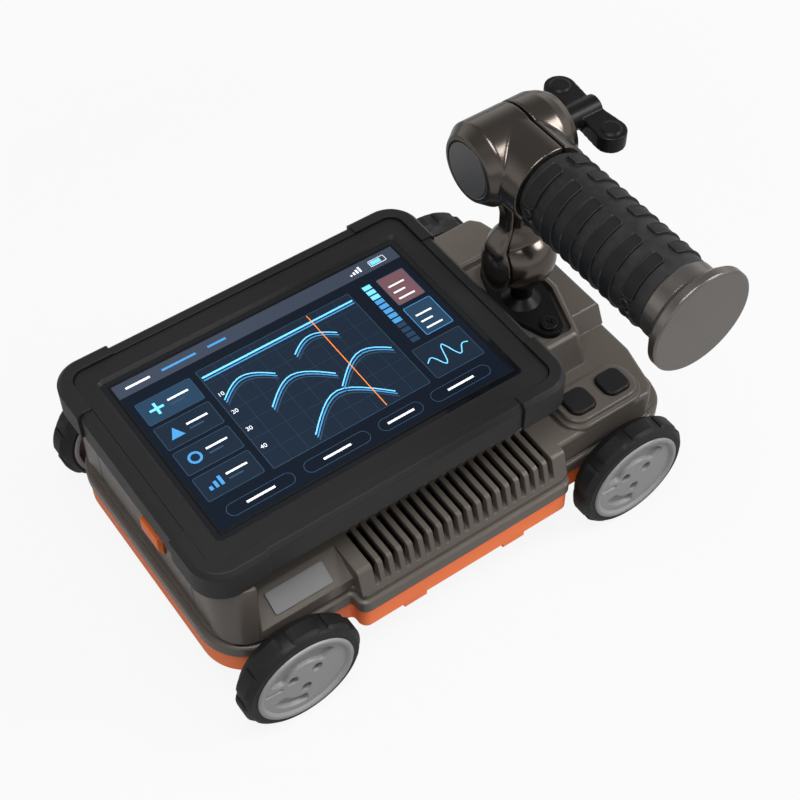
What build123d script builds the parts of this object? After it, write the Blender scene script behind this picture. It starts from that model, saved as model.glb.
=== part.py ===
from build123d import *
import math
import os

os.makedirs("parts", exist_ok=True)

# Wheels and axles
tyre_r = 34.6
tyre_shoulder_out = 1.6
tyre_shoulder_in = 5.75
tread_start = 2.8
tread_w = 9.8
tyre_set_back = 1.2
lug_count = 10
lug_notch_w = 7.0
lug_notch_d = 1.3
hub_r = 28.0
hub_w = 17.8
hub_lip_w = 2.6
hub_face_drop = 1.5
hub_core_r = 14.5
recess_d = 2.5
upper_recess_r = 16.0
upper_recess_w = 6.4
upper_recess_from = 48.0
upper_recess_to = 140.0
lower_recess_r = 18.4
lower_recess_w = 5.2
lower_recess_from = 225.0
lower_recess_to = 302.0
hub_slot_angle = 172.0
hub_slot_from = 13.0
hub_slot_to = 24.0
hub_slot_w = 3.6
web_t = 3.0
hub_screw_ring = 8.2
hub_screw_hole_r = 3.0
hub_screw_depth = 7.0
small_screw_r = 1.5
small_head_r = 2.75
small_head_h = 2.4
half_wheelbase = 106.65
half_track = 103.5
axle_r = 3.0
axle_flange_t = 3.0
bush_wall = 1.75
bush_flange_t = 2.2
bush_len = 10.0
encoder_r = 9.0
encoder_t = 1.5
encoder_y = 14.0

# Clearances
running_gap = 0.05
seat_gap = 0.1
slide_gap = 0.3
door_gap = 0.4

# Body plan
wheel_side_gap = 2.15
left_overhang = 32.35
right_overhang = 41.35
left_corner_r = 27.0
right_corner_r = 20.0
wheel_end_gap = 4.05
block_shift = 1.9
block_out = 10.0
block_r = 6.0
bay_r = 2.0
body_wall = 3.0
lip_round = 1.6
deck_round = 2.4
vent_round = 1.6
plateau_round = 1.8
boss_edge = 1.4
island_round = 1.2

# Body levels
axle_over_base = 6.6
base_h = 13.0
base_inset = 1.0
gasket_t = 1.5
gasket_inset = 1.4
flange_h = 7.5
step_h = 4.0
step_inset = 2.5
wall_h = 16.0
deck_skin = 3.5
foot_h = 4.0
foot_w = 14.0
foot_len = 18.0
foot_spread = 32.0
radome_l = 122.0
radome_w = 130.0
radome_drop = 21.0
radome_lip = 7.0
radome_t = 2.5

# Deck
deck_left_in = 4.0
deck_right_in = 6.8
deck_side_in = 1.5
deck_left_r = 20.0
corner_run = 11.0
corner_step_x = 6.2
corner_step_y = 5.5
corner_straight = 50.0
vent_foot_in = 0.4
vent_bend_in = 7.0
vent_bend_h = 15.0
slot_count = 19
slot_end_in = 10.15
slot_w = 3.2
slot_foot_h = 4.0
slot_reach = 32.0
fin_t = 1.6
can_l = 26.0
can_half_w = 32.0
can_end_in = 11.0
can_h = 4.5
slope_run = 16.5
slope_drop = 9.0
plate_l = 33.5
plate_w = 12.4
plate_t = 1.0
post_l = 18.0
pedestal_half_w = 60.0
pedestal_out = 2.1
pedestal_wall = 5.0
seat_h = 29.5
plateau_h = 12.0
plateau_half_w = 22.3
plateau_slope = 5.7
boss_h = 21.5
boss_half_w = 39.0
boss_foot = 5.5
boss_wall = 3.5
pocket_d = 5.0

# Buttons
island_in = 24.5
island_l = 47.0
island_w = 24.0
island_y = -67.0
island_h = 5.0
island_corner_r = 9.0
island_foot_out = 2.6
island_foot_h = 2.4
island_skin = 3.0
button_size = 15.8
button_r = 5.0
button_pitch = 23.2
button_rise = 2.2
button_round = 1.0
button_lip = 1.0
button_lip_t = 1.4
button_travel = 1.2
switch_h = 3.0
board_t = 1.6
key_board_over = 7.5
key_board_half_w = 8.6
switch_l = 6.0

# Battery door on the left end
door_half_w = 46.6
door_z0 = 3.4
door_h = 35.2
door_t = 4.0
door_pin_r = 1.0
latch_y = -13.0
latch_w = 17.0
latch_h = 15.0
latch_top_in = 7.0
latch_out = 3.0
latch_stem_w = 8.0
latch_stem_h = 5.0
latch_travel = 4.0
latch_keeper_t = 1.2
tray_wall = 2.0
battery_l = 75.0
battery_half_w = 42.6
battery_h = 31.0

# Display unit
screen_in = 135.75
screen_l = 172.2
screen_w = 107.6
trim_w = 1.2
trim_h = 0.4
glass_lap = 4.0
glass_t = 1.8
panel_t = 5.0
bezel_border_x = 14.9
bezel_border_y = 17.2
bezel_r = 8.0
bezel_t = 3.0
bezel_bevel = 1.8
case_gap = 0.4
rim_w = 7.0
rim_chamfer = 2.4
rim_over = 0.8
bumper_out = 1.5
bumper_over = 0.9
bumper_leg = 33.0
bumper_r = 17.0
case_wall = 3.0
case_floor = 2.5
case_h = 13.5
case_screw_x = 55.0
case_screw_y = 50.3
case_screw_r = 2.0
case_screw_head_r = 4.0
case_screw_head_h = 2.5
case_screw_bite = 5.5
display_board_over = 15.0
display_board_in = 6.0

# Handle mount, arm and grip
handle_in = 2.65
ball_r = 12.7
ball_rise = 30.0
stem_r = 6.0
stem_foot_r = 11.0
stem_foot_h = 4.0
diamond_t = 3.5
diamond_mid_r = 16.0
diamond_end_r = 7.5
diamond_screw_y = 24.5
diamond_screw_r = 2.0
cross_head_r = 5.0
cross_head_h = 1.8
cross_head_round = 0.8
cross_l = 5.0
cross_w = 1.1
liner_t = 1.75
liner_ring_top = -6.5
liner_cup_low = -1.0
liner_mouth_r = 8.5
socket_r = 19.5
socket_fore = 3.0
socket_up = 5.0
socket_mouth_r = 12.8
relief_r = 3.0
relief_h = 1.5
cheek_cut = 18.6
cheek_bulge = 6.5
cheek_half_w = 12.4
cheek_h = 19.0
cheek_sink = 2.0
rear_groove_in = 11.0
rear_groove_r = 11.7
arm_gap = 1.0
strap_l = 5.0
strap_half_w = 7.5
strap_round = 4.0
neck_half_w = 11.0
arm_len = 84.5
head_r = 22.4
nose_r = 17.5
nose_l = 6.5
nose_out = 41.0
cap_r = 14.5
cap_t = 2.8
slit_in = 8.5
slit_w = 1.5
head_bend_r = 21.0
head_bend_l = 5.0
head_back_r = 18.5
head_back_l = 9.5
head_back_out = 13.5
bolt_r = 4.0
bolt_head_r = 7.0
bolt_head_t = 5.0
bolt_tail = 20.0
washer_r = 11.0
washer_t = 2.0
knob_hub_r = 6.8
knob_l = 23.0
wing_set = 16.4
wing_reach = 20.0
wing_r = 8.2
wing_t = 9.0
wing_top = 3.0
wing_boss_r = 5.0
wing_boss_h = 1.0
grip_in = 14.8
collar_r = 22.0
collar_end = 32.0
grip_tube_r = 9.0
grip_r = 20.6
grip_neck_r = 19.2
grip_swell = 16.0
grip_l = 90.5
pad_count = 6
pad_rise = 1.4
pad_w = 8.4
pad_turn = 72.0
pad_columns = 4
pad_start = -44.0
ferrule_r = 21.0
ferrule_l = 8.0
end_groove = 1.5
end_disc_r = 28.0
end_disc_t = 8.0
end_disc_bevel = 3.5
end_disc_edge = 0.8

# Values that follow from the sizes above
tyre_w = tread_start + tread_w + tyre_shoulder_in - tyre_set_back
side_y = half_track - tyre_set_back - tyre_w - wheel_side_gap
left_x = -half_wheelbase - left_overhang
right_x = half_wheelbase + right_overhang
block_x0 = -(half_wheelbase - tyre_r - wheel_end_gap) + block_shift
block_x1 = half_wheelbase - tyre_r - wheel_end_gap + block_shift
block_y = side_y + block_out
base_z = tyre_r - axle_over_base
base_top = base_z + base_h
sole_z = base_z - radome_drop
flange_z = base_top + gasket_t
lip_z = flange_z + flange_h
step_z = lip_z + step_h
deck_z = step_z + wall_h
deck_under = deck_z - deck_skin
seat_z = deck_z + seat_h
seat_under = seat_z - deck_skin
boss_z = deck_z + boss_h
pocket_z = boss_z - pocket_d
ball_z = boss_z + ball_rise
head_z = ball_z + arm_len
deck_x0 = left_x + deck_left_in
deck_x1 = right_x - deck_right_in
handle_x = half_wheelbase - handle_in
island_x0 = handle_x - island_in
nose_x = handle_x - nose_out
slit_x = handle_x - slit_in
head_back_x = handle_x + head_back_out
grip_x = handle_x - grip_in
screen_cx = handle_x - screen_in
bezel_l = screen_l + 2 * bezel_border_x
bezel_w = screen_w + 2 * bezel_border_y
pedestal_right = block_x1 + pedestal_out
deck_y = side_y - deck_side_in
bush_r = axle_r + bush_wall
hub_back_y = half_track - hub_w


def block(x0, x1, y0, y1, z0, z1, r=0.0):
    width, depth = x1 - x0, y1 - y0
    face = RectangleRounded(width, depth, r) if r else Rectangle(width, depth)
    return Pos((x0 + x1) / 2, (y0 + y1) / 2, z0) * extrude(face, z1 - z0)


def wide(x0, x1, half, z0, z1, r=0.0):
    return block(x0, x1, -half, half, z0, z1, r)


def rod_x(x0, x1, y, z, r):
    return Pos((x0 + x1) / 2, y, z) * Rot(0, 90, 0) * Cylinder(r, x1 - x0)


def rod_y(y0, y1, x, z, r):
    return Pos(x, (y0 + y1) / 2, z) * Rot(90, 0, 0) * Cylinder(r, abs(y1 - y0))


def rod_z(z0, z1, x, y, r):
    return Pos(x, y, (z0 + z1) / 2) * Cylinder(r, z1 - z0)


def lathe(points):
    outline = Polyline(*[(r, 0, h) for r, h in points], close=True)
    return revolve(make_face(outline), Axis.Z)


def along_x(points, y, z):
    return Pos(0, y, z) * Rot(0, 90, 0) * lathe(points)


def outline(points):
    corners = [(x, y) for x, y, r in points]
    radii = [r for x, y, r in points]
    return make_face(FilletPolyline(*corners, radius=radii, close=True))


def mirrored(points):
    return points + [(x, -y, r) for x, y, r in reversed(points)]


def both_sides(shape):
    return shape + mirror(shape, Plane.XZ)


def slab(face, z0, z1):
    return Pos(0, 0, z0) * extrude(face, z1 - z0)


def save(shape, node):
    export_step(Pos(0, 0, -sole_z) * shape, f"parts/{node}.step")


def rounded_top(shape, r):
    return fillet(shape.faces().sort_by(Axis.Z)[-1].edges(), r)


def group(shapes):
    return Compound([solid for shape in shapes for solid in shape.solids()])


# Body outline with the middle block standing out between the wheels
def body_plan(inset):
    side, out = side_y - inset, block_y - inset
    return outline(mirrored([
        (left_x + inset, -side, left_corner_r - inset),
        (block_x0 + inset, -side, bay_r + inset),
        (block_x0 + inset, -out, block_r - inset),
        (block_x1 - inset, -out, block_r - inset),
        (block_x1 - inset, -side, bay_r + inset),
        (right_x - inset, -side, right_corner_r - inset),
    ]))


# Deck outline, straight at the right end with angled corners
def deck_plan(inset):
    side = deck_y - inset
    return outline(mirrored([
        (deck_x0 + inset, -side, deck_left_r - inset),
        (deck_x1 - corner_run, -side, 4.0),
        (deck_x1 - corner_step_x - inset / 2, -side + corner_step_y, 4.0),
        (deck_x1 - inset, -corner_straight, 8.0),
    ]))


# Wheel pieces are made with their outer face at height 0 and the axle upwards
hub_back_floor = hub_face_drop + recess_d + web_t
flange_face = hub_w - axle_flange_t
screw_seat = hub_face_drop + hub_screw_depth
hub_rim_in = hub_r - hub_lip_w


def make_tyre():
    inner = hub_r + seat_gap
    tread_end = tread_start + tread_w
    tyre = lathe([
        (inner, tyre_set_back),
        (tyre_r - tyre_shoulder_out, tyre_set_back),
        (tyre_r, tread_start),
        (tyre_r, tread_end),
        (tyre_r - tyre_shoulder_in, tread_end + tyre_shoulder_in),
        (inner, tread_end + tyre_shoulder_in),
    ])
    notch = Box(lug_notch_d * 2, lug_notch_w, tread_w)
    notch = Pos(tyre_r, 0, tread_start + tread_w / 2 - tread_w) * notch
    turns = [Rot(0, 0, 360 / lug_count * i) for i in range(lug_count)]
    return tyre - [turn * notch for turn in turns]


# Curved recess with round ends in the outer face of a hub
def face_recess(r, width, turn_from, turn_to):
    z0, z1 = hub_face_drop - 1, hub_face_drop + recess_d
    profile = make_face(Polyline(
        (r - width / 2, 0, z0),
        (r + width / 2, 0, z0),
        (r + width / 2, 0, z1),
        (r - width / 2, 0, z1),
        close=True,
    ))
    recess = Rot(0, 0, -turn_to) * revolve(profile, Axis.Z, turn_to - turn_from)
    for turn in (turn_from, turn_to):
        recess += Rot(0, 0, -turn) * rod_z(z0, z1, r, 0, width / 2)
    return recess


def make_hub():
    hub = lathe([
        (0, hub_face_drop),
        (hub_rim_in - 0.6, hub_face_drop),
        (hub_rim_in, 0),
        (hub_r, 0),
        (hub_r, hub_w),
        (hub_rim_in, hub_w),
        (hub_rim_in, hub_back_floor),
        (hub_core_r, hub_back_floor),
        (hub_core_r, flange_face),
        (0, flange_face),
    ])
    hub -= face_recess(upper_recess_r, upper_recess_w, upper_recess_from, upper_recess_to)
    hub -= face_recess(lower_recess_r, lower_recess_w, lower_recess_from, lower_recess_to)
    hub_slot = block(hub_slot_from, hub_slot_to, -hub_slot_w / 2, hub_slot_w / 2,
                     hub_face_drop - 1, hub_face_drop + recess_d, hub_slot_w / 2 - 0.1)
    hub -= Rot(0, 0, -hub_slot_angle) * hub_slot
    for i in range(3):
        spot = Rot(0, 0, 120 * i + 90) * Pos(hub_screw_ring, 0, 0)
        hub -= spot * rod_z(0, screw_seat, 0, 0, hub_screw_hole_r)
        hub -= spot * rod_z(0, hub_w, 0, 0, small_screw_r + running_gap)
    return hub


def make_hub_screws():
    screws = []
    for i in range(3):
        spot = Rot(0, 0, 120 * i + 90) * Pos(hub_screw_ring, 0, 0)
        head = rod_z(screw_seat - small_head_h, screw_seat, 0, 0, small_head_r)
        shank = rod_z(screw_seat, hub_w - 0.5, 0, 0, small_screw_r)
        screws.append(spot * (head + shank))
    return screws


def make_axle():
    axle = rod_y(-hub_back_y, hub_back_y, 0, 0, axle_r)
    for turn in (0, 180):
        disc = rod_z(flange_face, hub_w, 0, 0, hub_core_r - 2.0)
        for i in range(3):
            spot = Rot(0, 0, 120 * i + 90) * Pos(hub_screw_ring, 0, 0)
            disc -= spot * rod_z(flange_face, hub_w, 0, 0, small_screw_r + running_gap)
        axle += Rot(0, 0, turn) * Pos(0, -half_track, 0) * Rot(-90, 0, 0) * disc
    return axle


def wheel_spot(x, side):
    turn = 0 if side < 0 else 180
    return Pos(x, side * half_track, tyre_r) * Rot(0, 0, turn) * Rot(-90, 0, 0)


tyre = make_tyre()
hub = make_hub()
axle = make_axle()
for end, x in (("left", -half_wheelbase), ("right", half_wheelbase)):
    screws = []
    for name, side in (("front", -1), ("rear", 1)):
        save(wheel_spot(x, side) * tyre, f"tyre_{name}_{end}")
        save(wheel_spot(x, side) * hub, f"hub_{name}_{end}")
        screws += [wheel_spot(x, side) * screw for screw in make_hub_screws()]
    save(group(screws), f"hub_screws_{end}")
    save(Pos(x, 0, tyre_r) * axle, f"axle_{end}")

disc = rod_y(encoder_y - encoder_t / 2, encoder_y + encoder_t / 2, -half_wheelbase, tyre_r, encoder_r)
disc -= rod_y(encoder_y - encoder_t, encoder_y + encoder_t, -half_wheelbase, tyre_r, axle_r + running_gap)
save(disc, "encoder_disc")

# Encoder reader straddling the disc, standing on the base floor
base_floor = base_z + body_wall
reader_gap = 1.0
reader_w = 10.0
reader_top = tyre_r + encoder_r + reader_gap + 3.5
reader_x = -half_wheelbase - encoder_r - 6.0
reader = block(reader_x, reader_x + 5, encoder_y - reader_w / 2, encoder_y + reader_w / 2,
               base_floor, reader_top)
reader += block(reader_x, -half_wheelbase + 5, encoder_y - reader_w / 2, encoder_y + reader_w / 2,
                tyre_r + encoder_r - 4, reader_top)
reader -= block(reader_x + 5, -half_wheelbase + 6, encoder_y - encoder_t / 2 - reader_gap,
                encoder_y + encoder_t / 2 + reader_gap, base_floor, reader_top - 3.5)
save(reader, "encoder_reader")

# Flanged bushes that carry the axles in the base walls
base_side = side_y - base_inset
bush_in = base_side - bush_len
bushes = []
for x in (-half_wheelbase, half_wheelbase):
    for side in (-1, 1):
        bush = rod_y(side * bush_in, side * base_side, x, tyre_r, bush_r)
        bush += rod_y(side * base_side, side * (base_side + bush_flange_t), x, tyre_r, bush_r + 1.2)
        bush -= rod_y(side * (bush_in - 1), side * (base_side + 5), x, tyre_r, axle_r + running_gap)
        bushes.append(bush)
save(group(bushes), "axle_bushes")

# Screws that hold the base to the housing
base_screw_spots = []
for side in (-1, 1):
    base_screw_spots += [
        (left_x + 15.0, side * (side_y - 28.0)),
        (block_x0 + 6.5, side * (side_y - 1.0)),
        (block_x1 - 6.5, side * (side_y - 1.0)),
        (right_x - 18.0, side * (side_y - 25.0)),
    ]
screw_post_r = 4.0
screw_sink = 2.8
screw_bite = 9.0

# Orange antenna base, a shallow tray with the window for the antennas
base = slab(body_plan(base_inset), base_z, base_top)
base -= slab(body_plan(base_inset + body_wall), base_floor, base_top)
for side in (-1, 1):
    for x in (-foot_spread, foot_spread):
        foot_y = side * (block_y - base_inset - foot_len / 2 - 0.5)
        base += block(x - foot_w / 2, x + foot_w / 2, foot_y - foot_len / 2, foot_y + foot_len / 2,
                      base_z - foot_h, base_z)
    for x in (-half_wheelbase, half_wheelbase):
        inner, outer = sorted((side * bush_in, side * (base_side - 1)))
        base += block(x - bush_r - 3, x + bush_r + 3, inner, outer, base_z, base_top)
        base -= rod_y(side * (bush_in - 1), side * (base_side + 1), x, tyre_r, bush_r + seat_gap)
for x, y in base_screw_spots:
    base += rod_z(base_z, base_top, x, y, screw_post_r)
    base -= rod_z(base_z, base_z + screw_sink, x, y, small_head_r + seat_gap)
    base -= rod_z(base_z, base_top, x, y, small_screw_r + seat_gap)
blister_half = encoder_r + 3.5
base += block(-half_wheelbase - blister_half, -half_wheelbase + blister_half, encoder_y - 6.5,
              encoder_y + 6.5, tyre_r - encoder_r - 3.0, base_floor)
base -= block(-half_wheelbase - encoder_r - 1, -half_wheelbase + encoder_r + 1, encoder_y - 2.5,
              encoder_y + 2.5, tyre_r - encoder_r - 1, base_floor + 1)
window_l = radome_l - 2 * radome_t
window_w = radome_w - 2 * radome_t
base -= wide(-window_l / 2, window_l / 2, window_w / 2, base_z - 1, base_floor + 1)
save(base, "antenna_base")

screws = []
for x, y in base_screw_spots:
    head_z0 = base_z + screw_sink - small_head_h
    screw = rod_z(head_z0, base_z + screw_sink, x, y, small_head_r)
    screws.append(screw + rod_z(base_z + screw_sink, flange_z + screw_bite - 1, x, y, small_screw_r))
save(group(screws), "base_screws")

gasket = slab(body_plan(gasket_inset), base_top, flange_z)
gasket -= slab(body_plan(base_inset + body_wall), base_top, flange_z)
save(gasket, "base_gasket")

# Radome tray with the flat sole, and the antennas inside it
radome = wide(-radome_l / 2, radome_l / 2, radome_w / 2, sole_z, base_z, 8)
radome += wide(-radome_l / 2 - radome_lip, radome_l / 2 + radome_lip, radome_w / 2 + radome_lip,
               base_z - radome_t, base_z, 8)
radome_floor = sole_z + radome_t
radome -= wide(-window_l / 2, window_l / 2, window_w / 2, radome_floor, base_z, 5.5)
save(radome, "antenna_radome")

antenna_gap = 4.0
antenna_l = window_l / 2 - antenna_gap
antenna_half_w = window_w / 2 - 3.0
shield_t = 1.5
shield_top = base_top - 1.0
absorber_h = 15.0
shields, absorbers = [], []
for name, x0 in (("transmit", -antenna_l - antenna_gap / 2), ("receive", antenna_gap / 2)):
    x1 = x0 + antenna_l
    save(wide(x0, x1, antenna_half_w, radome_floor, radome_floor + board_t), f"{name}_antenna")
    shield = wide(x0, x1, antenna_half_w, radome_floor + board_t, shield_top)
    shield -= wide(x0 + shield_t, x1 - shield_t, antenna_half_w - shield_t,
                   radome_floor, shield_top - shield_t)
    shields.append(shield)
    absorber_top = shield_top - shield_t
    absorbers.append(wide(x0 + shield_t, x1 - shield_t, antenna_half_w - shield_t,
                          absorber_top - absorber_h, absorber_top))
save(group(shields), "antenna_shields")
save(group(absorbers), "antenna_absorbers")

# Housing: flange, step and deck walls
housing = rounded_top(slab(body_plan(0), flange_z, lip_z), lip_round)
housing += slab(body_plan(step_inset), lip_z - 1, step_z)
housing += rounded_top(slab(deck_plan(0), step_z - 1, deck_z), deck_round)

# Vent blocks, front and back
vent_x0 = block_x0 + step_inset
vent_x1 = block_x1 - step_inset
vent_foot = block_y - step_inset - vent_foot_in
vent_bend = block_y - vent_bend_in
vent_face = make_face(Polyline(
    (vent_x0, -deck_y + 5, step_z),
    (vent_x0, -vent_foot, step_z),
    (vent_x0, -vent_bend, step_z + vent_bend_h),
    (vent_x0, -vent_bend + 2, deck_z),
    (vent_x0, -deck_y + 5, deck_z),
    close=True,
))
vent = extrude(vent_face, vent_x1 - vent_x0, dir=(1, 0, 0))
vent_edges = vent.edges().filter_by(Axis.X).sort_by(Axis.Y)[1:3]
housing += both_sides(fillet(vent_edges, vent_round))

# Corner posts and end wall under the display, and the pedestal that carries it
post_x1 = deck_x0 + post_l
tall = slab(deck_plan(0), step_z, seat_z)
housing += tall & wide(deck_x0 - 1, post_x1, side_y, step_z, seat_z)
housing += wide(post_x1 - 5, pedestal_right, pedestal_half_w, deck_z - 1, seat_z)

# Plateau and the boss for the ball base
plateau_face = make_face(Polyline(
    (pedestal_right - 5, -plateau_half_w - plateau_slope, deck_z),
    (pedestal_right - 5, -plateau_half_w, deck_z + plateau_h),
    (pedestal_right - 5, plateau_half_w, deck_z + plateau_h),
    (pedestal_right - 5, plateau_half_w + plateau_slope, deck_z),
    close=True,
))
plateau = extrude(plateau_face, deck_x1 - pedestal_right + 5, dir=(1, 0, 0))
housing += rounded_top(plateau, plateau_round)


def boss_plan(grow):
    return outline(mirrored([
        (pedestal_right - 2, -boss_half_w - grow, 0),
        (handle_x + 9.0 + grow / 2, -boss_half_w - grow, 4.0),
        (handle_x + 21.0 + grow, -5.0, 5.0),
    ]))


boss_levels = [(deck_z, boss_foot), (boss_z - boss_edge, 0.4), (boss_z, -boss_edge)]
housing += loft([Pos(0, 0, z) * boss_plan(grow) for z, grow in boss_levels], ruled=True)

# Button island
island_x1 = island_x0 + island_l
island_y0 = island_y - island_w / 2
island_y1 = island_y + island_w / 2
island_z = deck_z + island_h
out = island_foot_out
island_foot = block(island_x0 - out, island_x1 + out, island_y0 - out, island_y1 + out,
                    deck_z - 1, deck_z + island_foot_h, island_corner_r + out)
island = block(island_x0, island_x1, island_y0, island_y1, deck_z - 1, island_z, island_corner_r)
housing += [rounded_top(island_foot, island_round), rounded_top(island, island_round)]

# Hollow inside
cavity_y = deck_y - 4.0
cavity_x0 = deck_x0 + door_t + 2.0
cavity_x1 = deck_x1 - 4.0
housing -= wide(cavity_x0, cavity_x1 - corner_run, cavity_y, flange_z, deck_under, 6)
housing -= wide(cavity_x1 - corner_run - 20, cavity_x1, corner_straight, flange_z, deck_under, 6)
vent_room = vent_bend - 3.0
housing -= wide(vent_x0 + 8, vent_x1 - 8, vent_room, flange_z, deck_under)
housing -= wide(cavity_x0, pedestal_right - pedestal_wall, pedestal_half_w - pedestal_wall,
                deck_under - 8, seat_under)

# Sloped shoulders behind the front left and rear left wheels
slope_x0 = post_x1
slope_x1 = vent_x0
shoulder = block(slope_x0 - 1, slope_x1 + 1, -deck_y, -pedestal_half_w, step_z + 2, deck_z)
slope_face = make_face(Polyline(
    (slope_x0, -deck_y + slope_run, deck_z),
    (slope_x0, -side_y - 1, deck_z - slope_drop * (slope_run + side_y + 1 - deck_y) / slope_run),
    (slope_x0, -side_y - 1, deck_z + 1),
    (slope_x0, -deck_y + slope_run, deck_z + 1),
    close=True,
))
slope_cut = extrude(slope_face, slope_x1 - slope_x0, dir=(1, 0, 0))
housing += both_sides(shoulder)
housing -= both_sides(slope_cut)

# Cooling slots over the bend of the vent blocks
slot_mid = (vent_x0 + vent_x1) / 2
slot_z0 = step_z + slot_foot_h
slot_pitch = (vent_x1 - vent_x0 - 2 * slot_end_in) / (slot_count - 1)
slot_xs = [slot_mid + slot_pitch * (i - (slot_count - 1) / 2) for i in range(slot_count)]
slots = []
for x in slot_xs:
    slot = block(x - slot_w / 2, x + slot_w / 2, -block_y - 2, -block_y + slot_reach, slot_z0, deck_z + 5)
    slot += rod_y(-block_y - 2, -block_y + slot_reach, x, slot_z0, slot_w / 2)
    slots += [slot, mirror(slot, Plane.XZ)]
housing -= slots

# Pocket of the ball base with its two screw holes
pocket = slab(boss_plan(-boss_wall), pocket_z, boss_z + 1)
pocket &= wide(handle_x - 26, handle_x + 40, boss_half_w, pocket_z, boss_z + 1)
housing -= pocket
housing -= wide(handle_x - 14, handle_x + 14, diamond_screw_y - 8, deck_under - 1, pocket_z - 7)
screw_hole_z = deck_under + 2.5
for side in (-1, 1):
    housing -= rod_z(screw_hole_z, pocket_z, handle_x, side * diamond_screw_y, diamond_screw_r + seat_gap)

# Button holes and the room under the island
button_z0 = island_z - island_skin - slide_gap - button_lip_t
button_xs = [(island_x0 + island_x1 - button_pitch) / 2, (island_x0 + island_x1 + button_pitch) / 2]
room_half = button_size / 2 + button_lip + 0.5
housing -= block(button_xs[0] - room_half, button_xs[1] + room_half, island_y - room_half,
                 island_y + room_half, deck_under - 1, island_z - island_skin, 3)
hole = button_size + 2 * slide_gap
for x in button_xs:
    housing -= block(x - hole / 2, x + hole / 2, island_y - hole / 2, island_y + hole / 2,
                     island_z - island_skin - 1, island_z + 1, button_r + slide_gap)

# Battery door opening with its hinge pin holes
door_z = step_z + door_z0
door_top = door_z + door_h
housing -= wide(deck_x0 - 1, cavity_x0 + 1, door_half_w + door_gap, door_z - door_gap, door_top + door_gap)
pin_x = deck_x0 + door_t / 2
pin_z = door_z + door_t / 2
pin_half = door_half_w + 6.0
housing -= rod_y(-pin_half, pin_half, pin_x, pin_z, door_pin_r + running_gap)

# Posts inside the housing for base screws and boards
board_post_r = 3.5
radar_z = lip_z
radar_top = radar_z + board_t
radar_x0 = vent_x0 + 2.0
radar_x1 = vent_x1 + 8.0
radar_half_w = deck_y - 15.0
cpu_x0 = radar_x0 + 28.0
cpu_x1 = pedestal_right - pedestal_wall - 6.0
cpu_half_w = pedestal_half_w - pedestal_wall - 6.0
cpu_drop = 8.0
cpu_z = seat_under - cpu_drop
key_board_z = button_z0 - button_travel - switch_h - board_t - 2.6
key_mid = (button_xs[0] + button_xs[1]) / 2
posts = [rod_z(flange_z, deck_under + 1, x, y, screw_post_r) for x, y in base_screw_spots]
for side in (-1, 1):
    for x in (radar_x0 + 4, radar_x1 - 5):
        posts.append(rod_z(radar_top, deck_under + 1, x, side * (radar_half_w - 4.5), board_post_r))
    for x in (cpu_x0 + 5, cpu_x1 - 5):
        posts.append(rod_z(cpu_z + board_t, seat_under + 1, x, side * (cpu_half_w - 5), board_post_r))
    key_post_y = island_y + side * 7.0
    posts.append(rod_z(key_board_z + board_t, island_z - island_skin + 1, key_mid, key_post_y, 1.8))
housing += posts
for x, y in base_screw_spots:
    housing -= rod_z(flange_z, flange_z + screw_bite, x, y, small_screw_r + running_gap)
case_screw_spots = [(screen_cx + sx * case_screw_x, sy * case_screw_y) for sx in (-1, 1) for sy in (-1, 1)]
for x, y in case_screw_spots:
    housing -= rod_z(seat_under, seat_z, x, y, case_screw_r + seat_gap)
save(housing, "main_housing")

# Blank plate on the front left slope
slope_angle = math.degrees(math.atan2(slope_drop, slope_run))
plate_spot = Pos((slope_x0 + slope_x1) / 2, -deck_y + slope_run / 2, deck_z - slope_drop / 2)
plate = extrude(RectangleRounded(plate_l, plate_w, 1.2), plate_t)
save(plate_spot * Rot(slope_angle, 0, 0) * plate, "name_plate")

# Boards, shields and heat sinks inside the housing
save(wide(radar_x0, radar_x1, radar_half_w, radar_z, radar_top), "radar_board")
cans = []
for x in (radar_x0 + can_end_in, (radar_x0 + radar_x1 - can_l) / 2, radar_x1 - can_end_in - can_l):
    cans.append(wide(x, x + can_l, can_half_w, radar_top, radar_top + can_h))
save(group(cans), "board_shields")
save(wide(cpu_x0, cpu_x1, cpu_half_w, cpu_z, cpu_z + board_t), "processor_board")
sink_in = block_y - slot_reach + 0.5
sink_z0 = radar_top + 1.0
for name, side in (("front", -1), ("rear", 1)):
    inner, outer = sorted((side * sink_in, side * (sink_in + 2.5)))
    sink = block(slot_xs[0], slot_xs[-1], inner, outer, sink_z0, deck_under)
    fin_in, fin_out = sorted((side * sink_in, side * (vent_room - 0.5)))
    for x in slot_xs[:-1]:
        mid = x + slot_pitch / 2
        sink += block(mid - fin_t / 2, mid + fin_t / 2, fin_in, fin_out, sink_z0, deck_under)
    save(sink, f"heat_sink_{name}")

key_board = block(button_xs[0] - key_board_over, button_xs[1] + key_board_over, island_y - key_board_half_w,
                  island_y + key_board_half_w, key_board_z, key_board_z + board_t)
for x in button_xs:
    key_board += block(x - switch_l / 2, x + switch_l / 2, island_y - switch_l / 2, island_y + switch_l / 2,
                       key_board_z, key_board_z + board_t + switch_h)
save(key_board, "button_board")

# Two push buttons with a retaining lip under the skin
for name, x in (("left", button_xs[0]), ("right", button_xs[1])):
    half = button_size / 2
    lip = half + button_lip
    cap = block(x - half, x + half, island_y - half, island_y + half,
                button_z0, island_z + button_rise, button_r)
    cap = rounded_top(cap, button_round)
    cap += block(x - lip, x + lip, island_y - lip, island_y + lip, button_z0, button_z0 + button_lip_t, 2)
    switch_top = key_board_z + board_t + switch_h
    cap += rod_z(switch_top + button_travel + 0.2, button_z0, x, island_y, 2.5)
    save(cap, f"button_{name}")

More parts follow.
